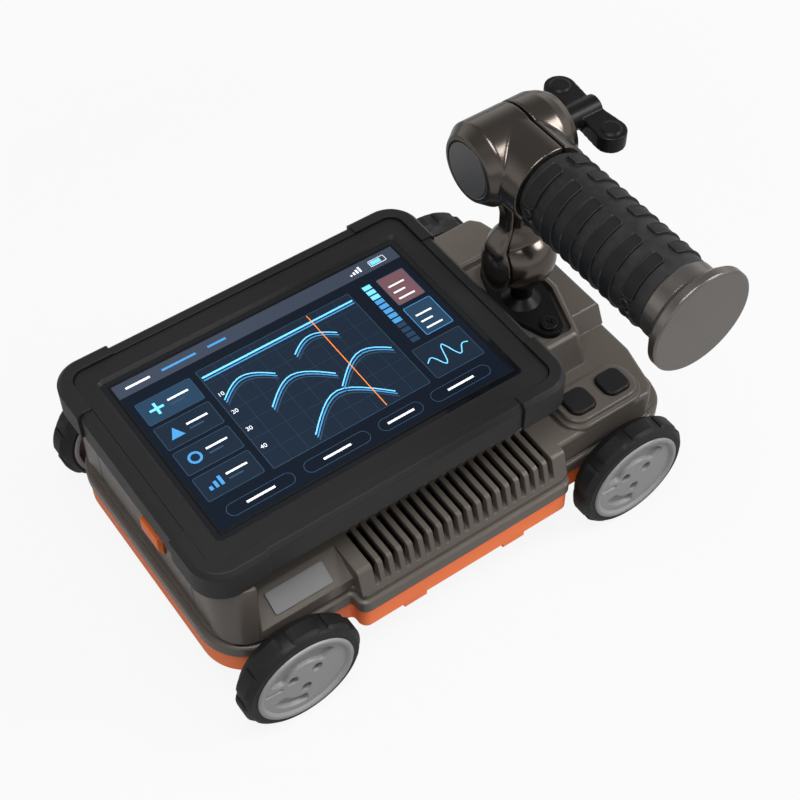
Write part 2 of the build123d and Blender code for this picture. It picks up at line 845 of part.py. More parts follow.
# Battery door, its pin, latch, sleeve and battery
door = wide(deck_x0, deck_x0 + door_t, door_half_w, pin_z, door_top)
door += rod_y(-door_half_w, door_half_w, pin_x, pin_z, door_t / 2)
door -= rod_y(-pin_half, pin_half, pin_x, pin_z, door_pin_r + running_gap)
stem_y0 = latch_y - latch_stem_w / 2
stem_y1 = latch_y + latch_stem_w / 2
latch_top = door_top - latch_top_in
stem_z1 = latch_top - 2.0
stem_z0 = stem_z1 - latch_stem_h
door -= block(deck_x0 - 1, deck_x0 + door_t + 1, stem_y0 - slide_gap, stem_y1 + slide_gap,
              stem_z0 - latch_travel - slide_gap, stem_z1 + slide_gap)
save(door, "battery_door")
save(rod_y(-pin_half, pin_half, pin_x, pin_z, door_pin_r), "door_hinge_pin")

latch_face = make_face(Polyline(
    (deck_x0 - slide_gap, latch_y - latch_w / 2, latch_top),
    (deck_x0 - slide_gap - latch_out, latch_y - latch_w / 2, latch_top),
    (deck_x0 - slide_gap - latch_out, latch_y - latch_w / 2, latch_top - latch_h * 0.6),
    (deck_x0 - slide_gap, latch_y - latch_w / 2, latch_top - latch_h),
    close=True,
))
latch = extrude(latch_face, latch_w, dir=(0, 1, 0))
keeper_x = deck_x0 + door_t + slide_gap
latch += block(deck_x0 - slide_gap, keeper_x, stem_y0, stem_y1, stem_z0, stem_z1)
latch += block(keeper_x, keeper_x + latch_keeper_t, stem_y0 - 2, stem_y1 + 2, stem_z0, door_top)
save(latch, "door_latch")

tray_x0 = keeper_x + latch_keeper_t + 0.9
tray_in_half = battery_half_w + slide_gap
tray_top_in = seat_under - tray_wall
battery_z = tray_top_in - slide_gap - battery_h
tray_x1 = tray_x0 + battery_l + 1.0 + tray_wall
tray = wide(tray_x0, tray_x1, tray_in_half + tray_wall, battery_z - tray_wall, seat_under)
tray -= wide(tray_x0 - 1, tray_x1 - tray_wall, tray_in_half, battery_z, tray_top_in)
save(tray, "battery_sleeve")
pack_x0 = tray_x0 + 1
pack = wide(pack_x0, pack_x0 + battery_l, battery_half_w, battery_z, battery_z + battery_h)
save(pack, "battery_pack")

# Display unit: case, bezel, rim and glass
case_half_l = bezel_l / 2 - case_gap
case_half_w = bezel_w / 2 - case_gap
case_top = seat_z + case_h
bezel_top = case_top + bezel_t
screen_z = bezel_top - bezel_bevel - 0.1
glass_l = screen_l + 2 * glass_lap
glass_w = screen_w + 2 * glass_lap
board_rest = seat_z + case_floor + 1.5


def screen_block(length, width, z0, z1, r=0.0):
    return block(screen_cx - length / 2, screen_cx + length / 2, -width / 2, width / 2, z0, z1, r)


case = screen_block(2 * case_half_l, 2 * case_half_w, seat_z, case_top, bezel_r)
case -= screen_block(2 * case_half_l - 2 * case_wall, 2 * case_half_w - 2 * case_wall,
                     seat_z + case_floor, case_top, bezel_r - case_wall)
panel_z = screen_z - glass_t - panel_t
for sx in (-1, 1):
    for sy in (-1, 1):
        x = screen_cx + sx * (glass_l / 2 - 6)
        y = sy * (glass_w / 2 - 6)
        case += rod_z(seat_z, panel_z, x, y, 4.0)
        case += rod_z(seat_z, board_rest, screen_cx + sx * (case_screw_x + 8), sy * (case_screw_y - 14), 4.0)
for x, y in case_screw_spots:
    case += rod_z(seat_z, panel_z - 0.5, x, y, 4.5)
    case -= rod_z(seat_z, seat_z + case_screw_bite + 0.5, x, y, case_screw_r + running_gap)
save(case, "display_case")

screws = []
for x, y in case_screw_spots:
    head = rod_z(seat_under - case_screw_head_h, seat_under, x, y, case_screw_head_r)
    screws.append(head + rod_z(seat_under, seat_z + case_screw_bite, x, y, case_screw_r))
save(group(screws), "display_screws")

board = screen_block(2 * (case_screw_x + display_board_over), 2 * (case_screw_y - display_board_in),
                     board_rest, board_rest + board_t)
save(board, "display_board")
save(screen_block(glass_l - 3, glass_w - 3, panel_z, panel_z + panel_t), "display_panel")
save(screen_block(glass_l, glass_w, screen_z - glass_t, screen_z, 2), "touch_glass")
trim = screen_block(screen_l + 2 * trim_w, screen_w + 2 * trim_w, screen_z, screen_z + trim_h)
trim -= screen_block(screen_l, screen_w, screen_z, screen_z + trim_h)
save(trim, "display_trim")

bezel = screen_block(2 * case_half_l, 2 * case_half_w, case_top, bezel_top, bezel_r)
window = screen_block(glass_l + 2 * seat_gap, glass_w + 2 * seat_gap,
                      case_top - 1, bezel_top + 1, 2 + seat_gap)
bezel -= window
inner_edges = bezel.faces().sort_by(Axis.Z)[-1].inner_wires()[0].edges()
bezel = chamfer(inner_edges, bezel_bevel)
save(bezel, "display_bezel")


# Rim strips between the four corner bumpers
def rim_ring(out, z1, r):
    ring = screen_block(bezel_l + 2 * out, bezel_w + 2 * out, seat_z + 0.2, z1, r)
    ring = chamfer(ring.faces().sort_by(Axis.Z)[-1].edges(), rim_chamfer)
    return ring - screen_block(bezel_l, bezel_w, seat_z, z1 + 1, bezel_r)


rim_top = bezel_top + rim_over
corner_l = bezel_l / 2 + rim_w - bumper_leg
corner_w = bezel_w / 2 + rim_w - bumper_leg
corner_zone = []
for sx in (-1, 1):
    for sy in (-1, 1):
        x0, x1 = sorted((screen_cx + sx * corner_l, screen_cx + sx * (bezel_l / 2 + 20)))
        y0, y1 = sorted((sy * corner_w, sy * (bezel_w / 2 + 20)))
        corner_zone.append(block(x0, x1, y0, y1, seat_z - 1, rim_top + 5))
strips = rim_ring(rim_w, rim_top, bumper_r - bumper_out) - corner_zone
save(group(strips.solids()), "rim_strips")
bumper_ring = rim_ring(rim_w + bumper_out, rim_top + bumper_over, bumper_r)
save(group([(bumper_ring & zone).solids()[0] for zone in corner_zone]), "corner_bumpers")

# Ball base: diamond plate, post and ball in one casting
plate_top = pocket_z + diamond_t
hull_edges = []
for y, r in ((0, diamond_mid_r), (diamond_screw_y, diamond_end_r), (-diamond_screw_y, diamond_end_r)):
    hull_edges += (Pos(handle_x, y) * Circle(r)).edges()
ball_base = slab(make_hull(hull_edges), pocket_z, plate_top)
foot = Cone(stem_foot_r, stem_r, stem_foot_h)
ball_base += Pos(handle_x, 0, plate_top + stem_foot_h / 2) * foot
ball_base += rod_z(plate_top, ball_z, handle_x, 0, stem_r)
ball_base += Pos(handle_x, 0, ball_z) * Sphere(ball_r)
screws = []
for side in (-1, 1):
    y = side * diamond_screw_y
    ball_base -= rod_z(pocket_z, plate_top, handle_x, y, diamond_screw_r + seat_gap)
    head = rod_z(plate_top, plate_top + cross_head_h, handle_x, y, cross_head_r)
    head = rounded_top(head, cross_head_round)
    head_top = Pos(handle_x, y, plate_top + cross_head_h)
    for turn in (20, 110):
        head -= head_top * Rot(0, 0, turn) * Box(cross_l, cross_w, cross_head_h)
    screws.append(head + rod_z(screw_hole_z + 1, plate_top, handle_x, y, diamond_screw_r))
save(ball_base, "ball_base")
save(group(screws), "ball_base_screws")

# Friction liner around the ball: a ring below and a cup above
liner_r = ball_r + running_gap + liner_t
ball_spot = Pos(handle_x, 0, ball_z)
shell = ball_spot * (Sphere(liner_r) - Sphere(ball_r + running_gap))
ring_zone = rod_z(ball_z - liner_r, ball_z + liner_ring_top, handle_x, 0, liner_r + 1)
ring_zone -= rod_z(ball_z - liner_r, ball_z, handle_x, 0, liner_mouth_r)
save(shell & ring_zone, "liner_ring")
save(shell & rod_z(ball_z + liner_cup_low, ball_z + liner_r, handle_x, 0, liner_r + 1), "liner_cup")

# Clamp arm: two halves that hold the ball below and the grip above
front_x = handle_x - cheek_cut
lobe_spot = Pos(handle_x - socket_fore, 0, ball_z + socket_up)
lobe = lobe_spot * Rot(0, 90, 0) * Sphere(socket_r)
cheek_spot = Pos(front_x + cheek_sink, 0, ball_z + socket_up)
cheek = cheek_spot * scale(Sphere(1.0), by=(cheek_bulge + cheek_sink, cheek_half_w, cheek_h))
mouth = rod_z(ball_z - 2 * socket_r, ball_z, handle_x, 0, socket_mouth_r)
core_x0 = front_x + arm_gap
core_x1 = handle_x + rear_groove_in
front_edge = slit_x - slit_w / 2
rear_edge = slit_x + slit_w / 2
neck_z = ball_z + ball_r
hollow = ball_spot * Rot(0, 90, 0) * Sphere(liner_r + running_gap)
hollow += rod_z(ball_z, ball_z + liner_r + relief_h, handle_x, 0, relief_r)


def between(x0, x1):
    return wide(x0, x1, 2 * head_r, ball_z - 2 * head_r, head_z + 2 * head_r)


collar = rod_y(-collar_end, 0, grip_x, head_z, collar_r)
tube_bore = rod_y(-collar_end - 1, -bolt_head_r - 4, grip_x, head_z, grip_tube_r + running_gap)
bolt_bore = rod_x(nose_x, head_back_x + 1, 0, head_z, bolt_r + running_gap)

front_half = along_x([
    (0, nose_x),
    (nose_r, nose_x),
    (head_r, nose_x + nose_l),
    (head_r, front_edge),
    (0, front_edge),
], 0, head_z)
front_half += collar & between(nose_x, front_edge)
strap = block(front_x - strap_l, front_x, -strap_half_w, strap_half_w, neck_z, head_z - nose_r)
front_half += fillet(strap.edges().filter_by(Axis.Z).group_by(Axis.X)[0], strap_round)
front_half += cheek & between(nose_x, front_x)
front_half -= rod_x(nose_x - 1, nose_x + cap_t + seat_gap, 0, head_z, cap_r + seat_gap)
front_half -= rod_x(nose_x, nose_x + cap_t + bolt_head_t + 0.5, 0, head_z, bolt_head_r + seat_gap)
front_half -= [bolt_bore, tube_bore]
save(front_half, "arm_front_half")

rear_half = along_x([
    (0, rear_edge),
    (head_r, rear_edge),
    (head_r, head_back_x - head_back_l),
    (head_bend_r, head_back_x - head_back_l + head_bend_l),
    (head_back_r, head_back_x),
    (0, head_back_x),
], 0, head_z)
neck_face = make_face(Polyline(
    (core_x0, neck_half_w, neck_z),
    (core_x1, neck_half_w, neck_z),
    (core_x1, neck_half_w, head_z),
    (rear_edge, neck_half_w, head_z),
    (rear_edge, neck_half_w, head_z - head_r - arm_gap),
    (core_x0, neck_half_w, head_z - head_r - arm_gap),
    close=True,
))
neck = extrude(neck_face, 2 * neck_half_w, dir=(0, -1, 0))
neck_mid = (core_x0 + core_x1) / 2
neck_round = Pos(neck_mid, 0, neck_z) * extrude(Ellipse(core_x1 - neck_mid, neck_half_w), head_z - neck_z)
rear_half += neck & neck_round
rear_half += collar & between(rear_edge, head_back_x)
socket = lobe & between(core_x0, handle_x + 2 * socket_r)
groove = along_x([
    (rear_groove_r, core_x1),
    (socket_r, core_x1),
    (socket_r, core_x1 + arm_gap),
    (rear_groove_r, core_x1 + arm_gap),
], 0, ball_z + socket_up)
for tool in (hollow, mouth, groove):
    socket -= tool
for tool in (hollow, bolt_bore, tube_bore):
    rear_half -= tool
save(rear_half + socket, "arm_rear_half")

cap = rod_x(nose_x, nose_x + cap_t, 0, head_z, cap_r)
save(cap, "head_cap")
bolt_x0 = nose_x + cap_t + seat_gap
knob_x0 = head_back_x + washer_t + 2 * slide_gap
bolt = rod_x(bolt_x0, bolt_x0 + bolt_head_t, 0, head_z, bolt_head_r)
bolt += rod_x(bolt_x0, head_back_x + bolt_tail, 0, head_z, bolt_r)
save(bolt, "clamp_bolt")

# Thrust washer and wing knob on the bolt
washer = rod_x(head_back_x + slide_gap, head_back_x + slide_gap + washer_t, 0, head_z, washer_r)
washer -= rod_x(head_back_x, head_back_x + 5, 0, head_z, bolt_r + running_gap)
save(washer, "knob_washer")

knob = rod_x(knob_x0, knob_x0 + knob_l, 0, head_z, knob_hub_r)
wing_x = knob_x0 + wing_set
for side in (-1, 1):
    hull_edges = (Pos(wing_x, side * wing_reach) * Circle(wing_r)).edges()
    hull_edges += (Pos(wing_x, side * 2) * Circle(wing_r * 0.75)).edges()
    knob += slab(make_hull(hull_edges), head_z + wing_top - wing_t, head_z + wing_top)
    knob += rod_z(head_z, head_z + wing_top + wing_boss_h, wing_x, side * wing_reach, wing_boss_r)
knob -= rod_x(knob_x0 - 1, head_back_x + bolt_tail + 4, 0, head_z, bolt_r + running_gap)
save(knob, "wing_knob")

# Grip tube, rubber sleeve with raised pads, and end cap
sleeve_end = collar_end + grip_l
cap_y = sleeve_end + ferrule_l + end_groove
tube_end = cap_y + end_disc_t - 4.0
save(rod_y(-tube_end, -bolt_head_r - 6, grip_x, head_z, grip_tube_r), "grip_tube")
sleeve = Rot(90, 0, 0) * lathe([
    (grip_tube_r + seat_gap, collar_end),
    (grip_neck_r, collar_end),
    (grip_r, collar_end + grip_swell),
    (grip_r, sleeve_end),
    (grip_tube_r + seat_gap, sleeve_end),
])
pad_pitch = grip_l / (pad_count + 0.4)
pad_ring = rod_y(-pad_w / 2, pad_w / 2, 0, 0, grip_r + pad_rise) - rod_y(-pad_w, pad_w, 0, 0, grip_r - 1)
wedge_x = 2 * grip_r * math.tan(math.radians(pad_turn / 2))
wedge_face = make_face(Polyline(
    (0, -pad_w, 0),
    (-wedge_x, -pad_w, 2 * grip_r),
    (wedge_x, -pad_w, 2 * grip_r),
    close=True,
))
wedge = extrude(wedge_face, 2 * pad_w, dir=(0, 1, 0))
pad = pad_ring & wedge
pads = []
for i in range(pad_count):
    y = -collar_end - pad_pitch * (i + 0.6)
    for column in range(pad_columns):
        pads.append(Pos(0, y, 0) * Rot(0, 360 / pad_columns * column + pad_start, 0) * pad)
sleeve += pads
save(Pos(grip_x, 0, head_z) * sleeve, "grip_sleeve")

end_cap = lathe([
    (grip_tube_r + seat_gap, sleeve_end),
    (ferrule_r, sleeve_end),
    (ferrule_r, sleeve_end + ferrule_l),
    (ferrule_r - 3, sleeve_end + ferrule_l),
    (ferrule_r - 3, cap_y),
    (end_disc_r - end_disc_bevel, cap_y),
    (end_disc_r, cap_y + end_disc_bevel),
    (end_disc_r, cap_y + end_disc_t - end_disc_edge),
    (end_disc_r - end_disc_edge, cap_y + end_disc_t),
    (0, cap_y + end_disc_t),
    (0, tube_end + seat_gap),
    (grip_tube_r + seat_gap, tube_end + seat_gap),
])
save(Pos(grip_x, 0, head_z) * Rot(90, 0, 0) * end_cap, "grip_end_cap")
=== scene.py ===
import bpy
import bmesh
import math
from mathutils import Matrix, Vector


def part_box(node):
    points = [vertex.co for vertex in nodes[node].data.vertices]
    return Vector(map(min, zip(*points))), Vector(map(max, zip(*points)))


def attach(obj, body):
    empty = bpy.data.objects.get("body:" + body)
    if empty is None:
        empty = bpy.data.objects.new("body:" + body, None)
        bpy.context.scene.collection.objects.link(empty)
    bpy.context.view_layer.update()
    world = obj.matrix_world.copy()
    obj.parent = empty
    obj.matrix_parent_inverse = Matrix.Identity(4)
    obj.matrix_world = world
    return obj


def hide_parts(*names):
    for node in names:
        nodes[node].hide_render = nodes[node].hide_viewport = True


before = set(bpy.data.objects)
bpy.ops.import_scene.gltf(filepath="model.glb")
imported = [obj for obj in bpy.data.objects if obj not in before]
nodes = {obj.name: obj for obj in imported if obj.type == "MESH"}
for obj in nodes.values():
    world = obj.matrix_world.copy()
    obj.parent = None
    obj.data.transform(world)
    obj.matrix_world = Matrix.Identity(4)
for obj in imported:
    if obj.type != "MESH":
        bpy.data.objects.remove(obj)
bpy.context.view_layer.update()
scene = bpy.context.scene
mm = 0.001
print("frame loaded:", len(nodes), "nodes")


def newGroup(name, inputs, outputs):
    tree = bpy.data.node_groups.new(name, "ShaderNodeTree")
    for label, kind, value in inputs:
        socket = tree.interface.new_socket(label, in_out="INPUT", socket_type=kind)
        socket.default_value = value
    for label, kind in outputs:
        tree.interface.new_socket(label, in_out="OUTPUT", socket_type=kind)
    return tree, tree.nodes.new("NodeGroupInput"), tree.nodes.new("NodeGroupOutput")


def addNode(tree, kind, sockets=(), **values):
    node = tree.nodes.new(kind)
    for key, value in values.items():
        setattr(node, key, value)
    for key, value in dict(sockets).items():
        node.inputs[key].default_value = value
    return node


# fine moulded or cast grain, and a broad blotch for uneven gloss
grainLook = {"grain": 900.0, "blotch": 30.0, "fineDetail": 3.0, "broadDetail": 4.0, "broadRough": 0.6}


def makeGrainGroup(look):
    tree, start, end = newGroup("surfaceGrain", [
        ("Grain Scale", "NodeSocketFloat", look["grain"]),
        ("Blotch Scale", "NodeSocketFloat", look["blotch"]),
    ], [("Grain", "NodeSocketFloat"), ("Blotch", "NodeSocketFloat")])
    coords = addNode(tree, "ShaderNodeTexCoord")
    fine = addNode(tree, "ShaderNodeTexNoise", {"Detail": look["fineDetail"]})
    broad = addNode(tree, "ShaderNodeTexNoise", {"Detail": look["broadDetail"],
                                                 "Roughness": look["broadRough"]})
    for noise, label in ((fine, "Grain Scale"), (broad, "Blotch Scale")):
        tree.links.new(coords.outputs["Object"], noise.inputs["Vector"])
        tree.links.new(start.outputs[label], noise.inputs["Scale"])
    tree.links.new(fine.outputs["Fac"], end.inputs["Grain"])
    tree.links.new(broad.outputs["Fac"], end.inputs["Blotch"])
    return tree


# rubbed edges, and on the grip a painted highlight along the pad beads, broken up by noise
wearAndSheenLook = {"onset": 0.53, "breakup": 220.0, "detail": 5.0, "noiseShare": 0.06, "width": 0.10}


def makeWearAndSheenGroup(look):
    tree, start, end = newGroup("edgeWearAndSheen", [
        ("Onset", "NodeSocketFloat", look["onset"]),
        ("Breakup", "NodeSocketFloat", look["breakup"]),
    ], [("Mask", "NodeSocketFloat")])
    shape = addNode(tree, "ShaderNodeNewGeometry")
    coords = addNode(tree, "ShaderNodeTexCoord")
    noise = addNode(tree, "ShaderNodeTexNoise", {"Detail": look["detail"]})
    shift = addNode(tree, "ShaderNodeMath", {1: look["noiseShare"]}, operation="MULTIPLY_ADD")
    level = addNode(tree, "ShaderNodeMath", operation="SUBTRACT")
    edge = addNode(tree, "ShaderNodeMapRange", {"From Max": look["width"]})
    tree.links.new(coords.outputs["Object"], noise.inputs["Vector"])
    tree.links.new(start.outputs["Breakup"], noise.inputs["Scale"])
    tree.links.new(noise.outputs["Fac"], shift.inputs[0])
    tree.links.new(shape.outputs["Pointiness"], shift.inputs[2])
    tree.links.new(shift.outputs[0], level.inputs[0])
    tree.links.new(start.outputs["Onset"], level.inputs[1])
    tree.links.new(level.outputs[0], edge.inputs["Value"])
    tree.links.new(edge.outputs["Result"], end.inputs["Mask"])
    return tree


grainGroup = makeGrainGroup(grainLook)
wearAndSheenGroup = makeWearAndSheenGroup(wearAndSheenLook)


def newMaterial(name):
    material = bpy.data.materials.new(name)
    material.use_nodes = True
    tree = material.node_tree
    tree.nodes.clear()
    out = addNode(tree, "ShaderNodeOutputMaterial")
    shader = addNode(tree, "ShaderNodeBsdfPrincipled")
    tree.links.new(shader.outputs["BSDF"], out.inputs["Surface"])
    return material, tree, shader


def mixColour(tree, first, second, factor):
    mix = addNode(tree, "ShaderNodeMix", {"A": (*first, 1.0), "B": (*second, 1.0)}, data_type="RGBA")
    tree.links.new(factor, mix.inputs["Factor"])
    return mix


# what a finish has unless its own look says otherwise
plainLook = {"depth": 0.0001, "metal": 0.0, "spec": 0.5, "coat": 0.0, "coatRough": 0.2, "roundSamples": 6}


def surfaceFinish(name, ownLook):
    look = {**plainLook, **ownLook}
    material, tree, shader = newMaterial(name)
    scales = {"Grain Scale": look["grain"], "Blotch Scale": look["blotch"]}
    grain = addNode(tree, "ShaderNodeGroup", scales, node_tree=grainGroup)
    base = mixColour(tree, look["colour"], look["tint"], grain.outputs["Blotch"])
    result = base.outputs["Result"]
    # sharp edges take a lighter colour: rubbed wear, and on the grip a painted highlight along the pad beads
    if "wearAndSheen" in look:
        wearAndSheen = addNode(tree, "ShaderNodeGroup", {"Onset": look["onset"]}, node_tree=wearAndSheenGroup)
        wearAndSheenMix = mixColour(tree, look["colour"], look["wearAndSheen"], wearAndSheen.outputs["Mask"])
        tree.links.new(result, wearAndSheenMix.inputs["A"])
        result = wearAndSheenMix.outputs["Result"]
    tree.links.new(result, shader.inputs["Base Color"])
    rough = addNode(tree, "ShaderNodeMapRange", {"To Min": look["rough"][0], "To Max": look["rough"][1]})
    tree.links.new(grain.outputs["Blotch"], rough.inputs["Value"])
    tree.links.new(rough.outputs["Result"], shader.inputs["Roughness"])
    bump = addNode(tree, "ShaderNodeBump", {"Strength": look["bump"], "Distance": look["depth"]})
    tree.links.new(grain.outputs["Grain"], bump.inputs["Height"])
    if "round" in look:
        soft = addNode(tree, "ShaderNodeBevel", {"Radius": look["round"]}, samples=look["roundSamples"])
        tree.links.new(soft.outputs["Normal"], bump.inputs["Normal"])
    tree.links.new(bump.outputs["Normal"], shader.inputs["Normal"])
    shader.inputs["Metallic"].default_value = look["metal"]
    shader.inputs["Specular IOR Level"].default_value = look["spec"]
    shader.inputs["Coat Weight"].default_value = look["coat"]
    shader.inputs["Coat Roughness"].default_value = look["coatRough"]
    if "glow" in look:
        tree.links.new(result, shader.inputs["Emission Color"])
        shader.inputs["Emission Strength"].default_value = look["glow"]
    return material


bronzeLook = {"colour": (0.098, 0.084, 0.073), "tint": (0.114, 0.099, 0.087), "grain": 1400.0,
              "blotch": 24.0, "rough": (0.22, 0.29), "bump": 0.06, "metal": 0.08, "spec": 0.20,
              "round": 0.0011}
armLook = {"colour": (0.090, 0.077, 0.067), "tint": (0.106, 0.092, 0.081), "grain": 1600.0,
           "blotch": 30.0, "rough": (0.18, 0.25), "bump": 0.05, "metal": 0.90,
           "wearAndSheen": (0.10, 0.092, 0.085), "onset": 0.58}
capLook = {"colour": (0.150, 0.138, 0.127), "tint": (0.172, 0.158, 0.146), "grain": 1600.0,
           "blotch": 30.0, "rough": (0.24, 0.32), "bump": 0.05, "metal": 0.85, "round": 0.0009}
orangeLook = {"colour": (0.98, 0.170, 0.022), "tint": (1.00, 0.200, 0.030), "grain": 1500.0,
              "blotch": 40.0, "rough": (0.40, 0.50), "bump": 0.12, "round": 0.0007}
charcoalLook = {"colour": (0.0095, 0.0095, 0.0095), "tint": (0.0120, 0.0120, 0.0120), "grain": 2200.0,
                "blotch": 40.0, "rough": (0.42, 0.50), "bump": 0.22, "spec": 0.25, "round": 0.0006}
bumperLook = {"colour": (0.0085, 0.0085, 0.0085), "tint": (0.0115, 0.0115, 0.0115), "grain": 1800.0,
              "blotch": 45.0, "rough": (0.44, 0.54), "bump": 0.20, "spec": 0.25, "round": 0.0010}
tyreLook = {"colour": (0.0060, 0.0060, 0.0060), "tint": (0.0090, 0.0090, 0.0090), "grain": 1300.0,
            "blotch": 60.0, "rough": (0.46, 0.62), "bump": 0.28, "spec": 0.25,
            "wearAndSheen": (0.015, 0.015, 0.015), "onset": 0.62}
hubLook = {"colour": (0.235, 0.235, 0.238), "tint": (0.27, 0.27, 0.273), "grain": 1800.0,
           "blotch": 50.0, "rough": (0.36, 0.48), "bump": 0.10, "round": 0.0006}
# the grip's lighter edge colour is partly rubbed wear, partly a painted highlight along the pad beads
gripLook = {"colour": (0.0065, 0.0065, 0.0065), "tint": (0.0085, 0.0085, 0.0085), "grain": 1500.0,
            "blotch": 40.0, "rough": (0.40, 0.50), "bump": 0.18, "spec": 0.19,
            "wearAndSheen": (0.045, 0.045, 0.045), "onset": 0.55}
keyLook = {"colour": (0.0080, 0.0080, 0.0080), "tint": (0.0105, 0.0105, 0.0105), "grain": 1500.0,
           "blotch": 40.0, "rough": (0.38, 0.48), "bump": 0.18, "spec": 0.25, "round": 0.0008}
blackLook = {"colour": (0.0045, 0.0045, 0.0047), "tint": (0.0068, 0.0068, 0.0070), "grain": 1800.0,
             "blotch": 45.0, "rough": (0.30, 0.40), "bump": 0.08, "spec": 0.15, "round": 0.0007}
gasketLook = {"colour": (0.075, 0.075, 0.075), "tint": (0.095, 0.095, 0.095), "grain": 1200.0,
              "blotch": 60.0, "rough": (0.55, 0.7), "bump": 0.2}
steelLook = {"colour": (0.42, 0.42, 0.43), "tint": (0.50, 0.50, 0.51), "grain": 1500.0,
             "blotch": 80.0, "rough": (0.25, 0.4), "bump": 0.1, "metal": 1.0, "round": 0.0003}
plateLook = {"colour": (0.105, 0.105, 0.108), "tint": (0.125, 0.125, 0.128), "grain": 900.0,
             "blotch": 60.0, "rough": (0.34, 0.46), "bump": 0.08, "metal": 0.5, "round": 0.0004}
boardLook = {"colour": (0.02, 0.09, 0.04), "tint": (0.03, 0.13, 0.06), "grain": 600.0,
             "blotch": 120.0, "rough": (0.35, 0.5), "bump": 0.1}
tinLook = {"colour": (0.55, 0.55, 0.56), "tint": (0.62, 0.62, 0.63), "grain": 900.0,
           "blotch": 60.0, "rough": (0.3, 0.45), "bump": 0.1, "metal": 1.0}
foamLook = {"colour": (0.03, 0.03, 0.035), "tint": (0.05, 0.05, 0.055), "grain": 500.0,
            "blotch": 200.0, "rough": (0.9, 1.0), "bump": 0.8, "depth": 0.0004}
radomeLook = {"colour": (0.030, 0.030, 0.031), "tint": (0.045, 0.045, 0.046), "grain": 1100.0,
              "blotch": 35.0, "rough": (0.45, 0.6), "bump": 0.2, "round": 0.0006}
panelLook = {"colour": (0.006, 0.009, 0.015), "tint": (0.008, 0.012, 0.02), "grain": 900.0,
             "blotch": 20.0, "rough": (0.2, 0.3), "bump": 0.02}
glassLook = {"colour": (0.0030, 0.0045, 0.0070), "tint": (0.0040, 0.0055, 0.0085), "grain": 300.0,
             "blotch": 14.0, "rough": (0.06, 0.11), "bump": 0.01, "coat": 0.3, "coatRough": 0.05}

finishes = {
    "bronze": surfaceFinish("satinBronzeCoat", bronzeLook),
    "arm": surfaceFinish("darkCastArm", armLook),
    "cap": surfaceFinish("turnedEndCap", capLook),
    "orange": surfaceFinish("orangeShell", orangeLook),
    "charcoal": surfaceFinish("charcoalBezel", charcoalLook),
    "bumper": surfaceFinish("bumperRubber", bumperLook),
    "tyre": surfaceFinish("tyreRubber", tyreLook),
    "hub": surfaceFinish("greyHub", hubLook),
    "grip": surfaceFinish("gripRubber", gripLook),
    "key": surfaceFinish("keyRubber", keyLook),
    "black": surfaceFinish("mouldedBlackAndSlotShade", blackLook),
    "gasket": surfaceFinish("greyGasket", gasketLook),
    "steel": surfaceFinish("platedSteel", steelLook),
    "plate": surfaceFinish("brushedPlate", plateLook),
    "board": surfaceFinish("greenBoard", boardLook),
    "tin": surfaceFinish("tinnedShield", tinLook),
    "foam": surfaceFinish("absorberFoam", foamLook),
    "radome": surfaceFinish("wearPlate", radomeLook),
    "panel": surfaceFinish("displayPanel", panelLook),
    "glass": surfaceFinish("coverGlass", glassLook),
}

nodeFinish = {
    "bronze": "main_housing battery_door",
    "arm": "arm_front_half arm_rear_half",
    "cap": "grip_end_cap",
    "orange": "antenna_base door_latch",
    "charcoal": "display_bezel",
    "bumper": "rim_strips corner_bumpers",
    "tyre": "tyre_front_left tyre_rear_left tyre_front_right tyre_rear_right",
    "hub": "hub_front_left hub_rear_left hub_front_right hub_rear_right",
    "grip": "grip_sleeve",
    "key": "button_left button_right",
    # the heat sinks behind the vent slots are black as painted shade: they stand in for the deep shade inside
    # the slots
    "black": "battery_sleeve encoder_reader display_case liner_ring liner_cup wing_knob axle_bushes "
             "ball_base heat_sink_front heat_sink_rear battery_pack display_trim ball_base_screws",
    "gasket": "base_gasket",
    "steel": "door_hinge_pin base_screws display_screws axle_left axle_right hub_screws_left "
             "hub_screws_right clamp_bolt knob_washer grip_tube encoder_disc",
    "plate": "name_plate head_cap",
    "board": "transmit_antenna receive_antenna radar_board processor_board button_board display_board",
    "tin": "antenna_shields board_shields",
    "foam": "antenna_absorbers",
    "radome": "antenna_radome",
    "panel": "display_panel",
    "glass": "touch_glass",
}
for finish, names in nodeFinish.items():
    for name in names.split():
        mesh = nodes[name].data
        mesh.materials.clear()
        mesh.materials.append(finishes[finish])
print("finishes assigned:", len(finishes))


def meshFrom(bm, name, sharpDegrees):
    bmesh.ops.recalc_face_normals(bm, faces=bm.faces)
    mesh = bpy.data.meshes.new(name)
    bm.to_mesh(mesh)
    bm.free()
    mesh.shade_smooth()
    mesh.set_sharp_from_angle(angle=math.radians(sharpDegrees))
    return mesh


def newPiece(name, mesh, body, replaced=()):
    piece = bpy.data.objects.new(name, mesh)
    scene.collection.objects.link(piece)
    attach(piece, body)
    if replaced:
        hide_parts(*replaced)


def evaluatedMesh(holder):
    bpy.context.view_layer.update()
    evaluated = holder.evaluated_get(bpy.context.evaluated_depsgraph_get())
    mesh = bpy.data.meshes.new_from_object(evaluated)
    bpy.data.objects.remove(holder)
    return mesh


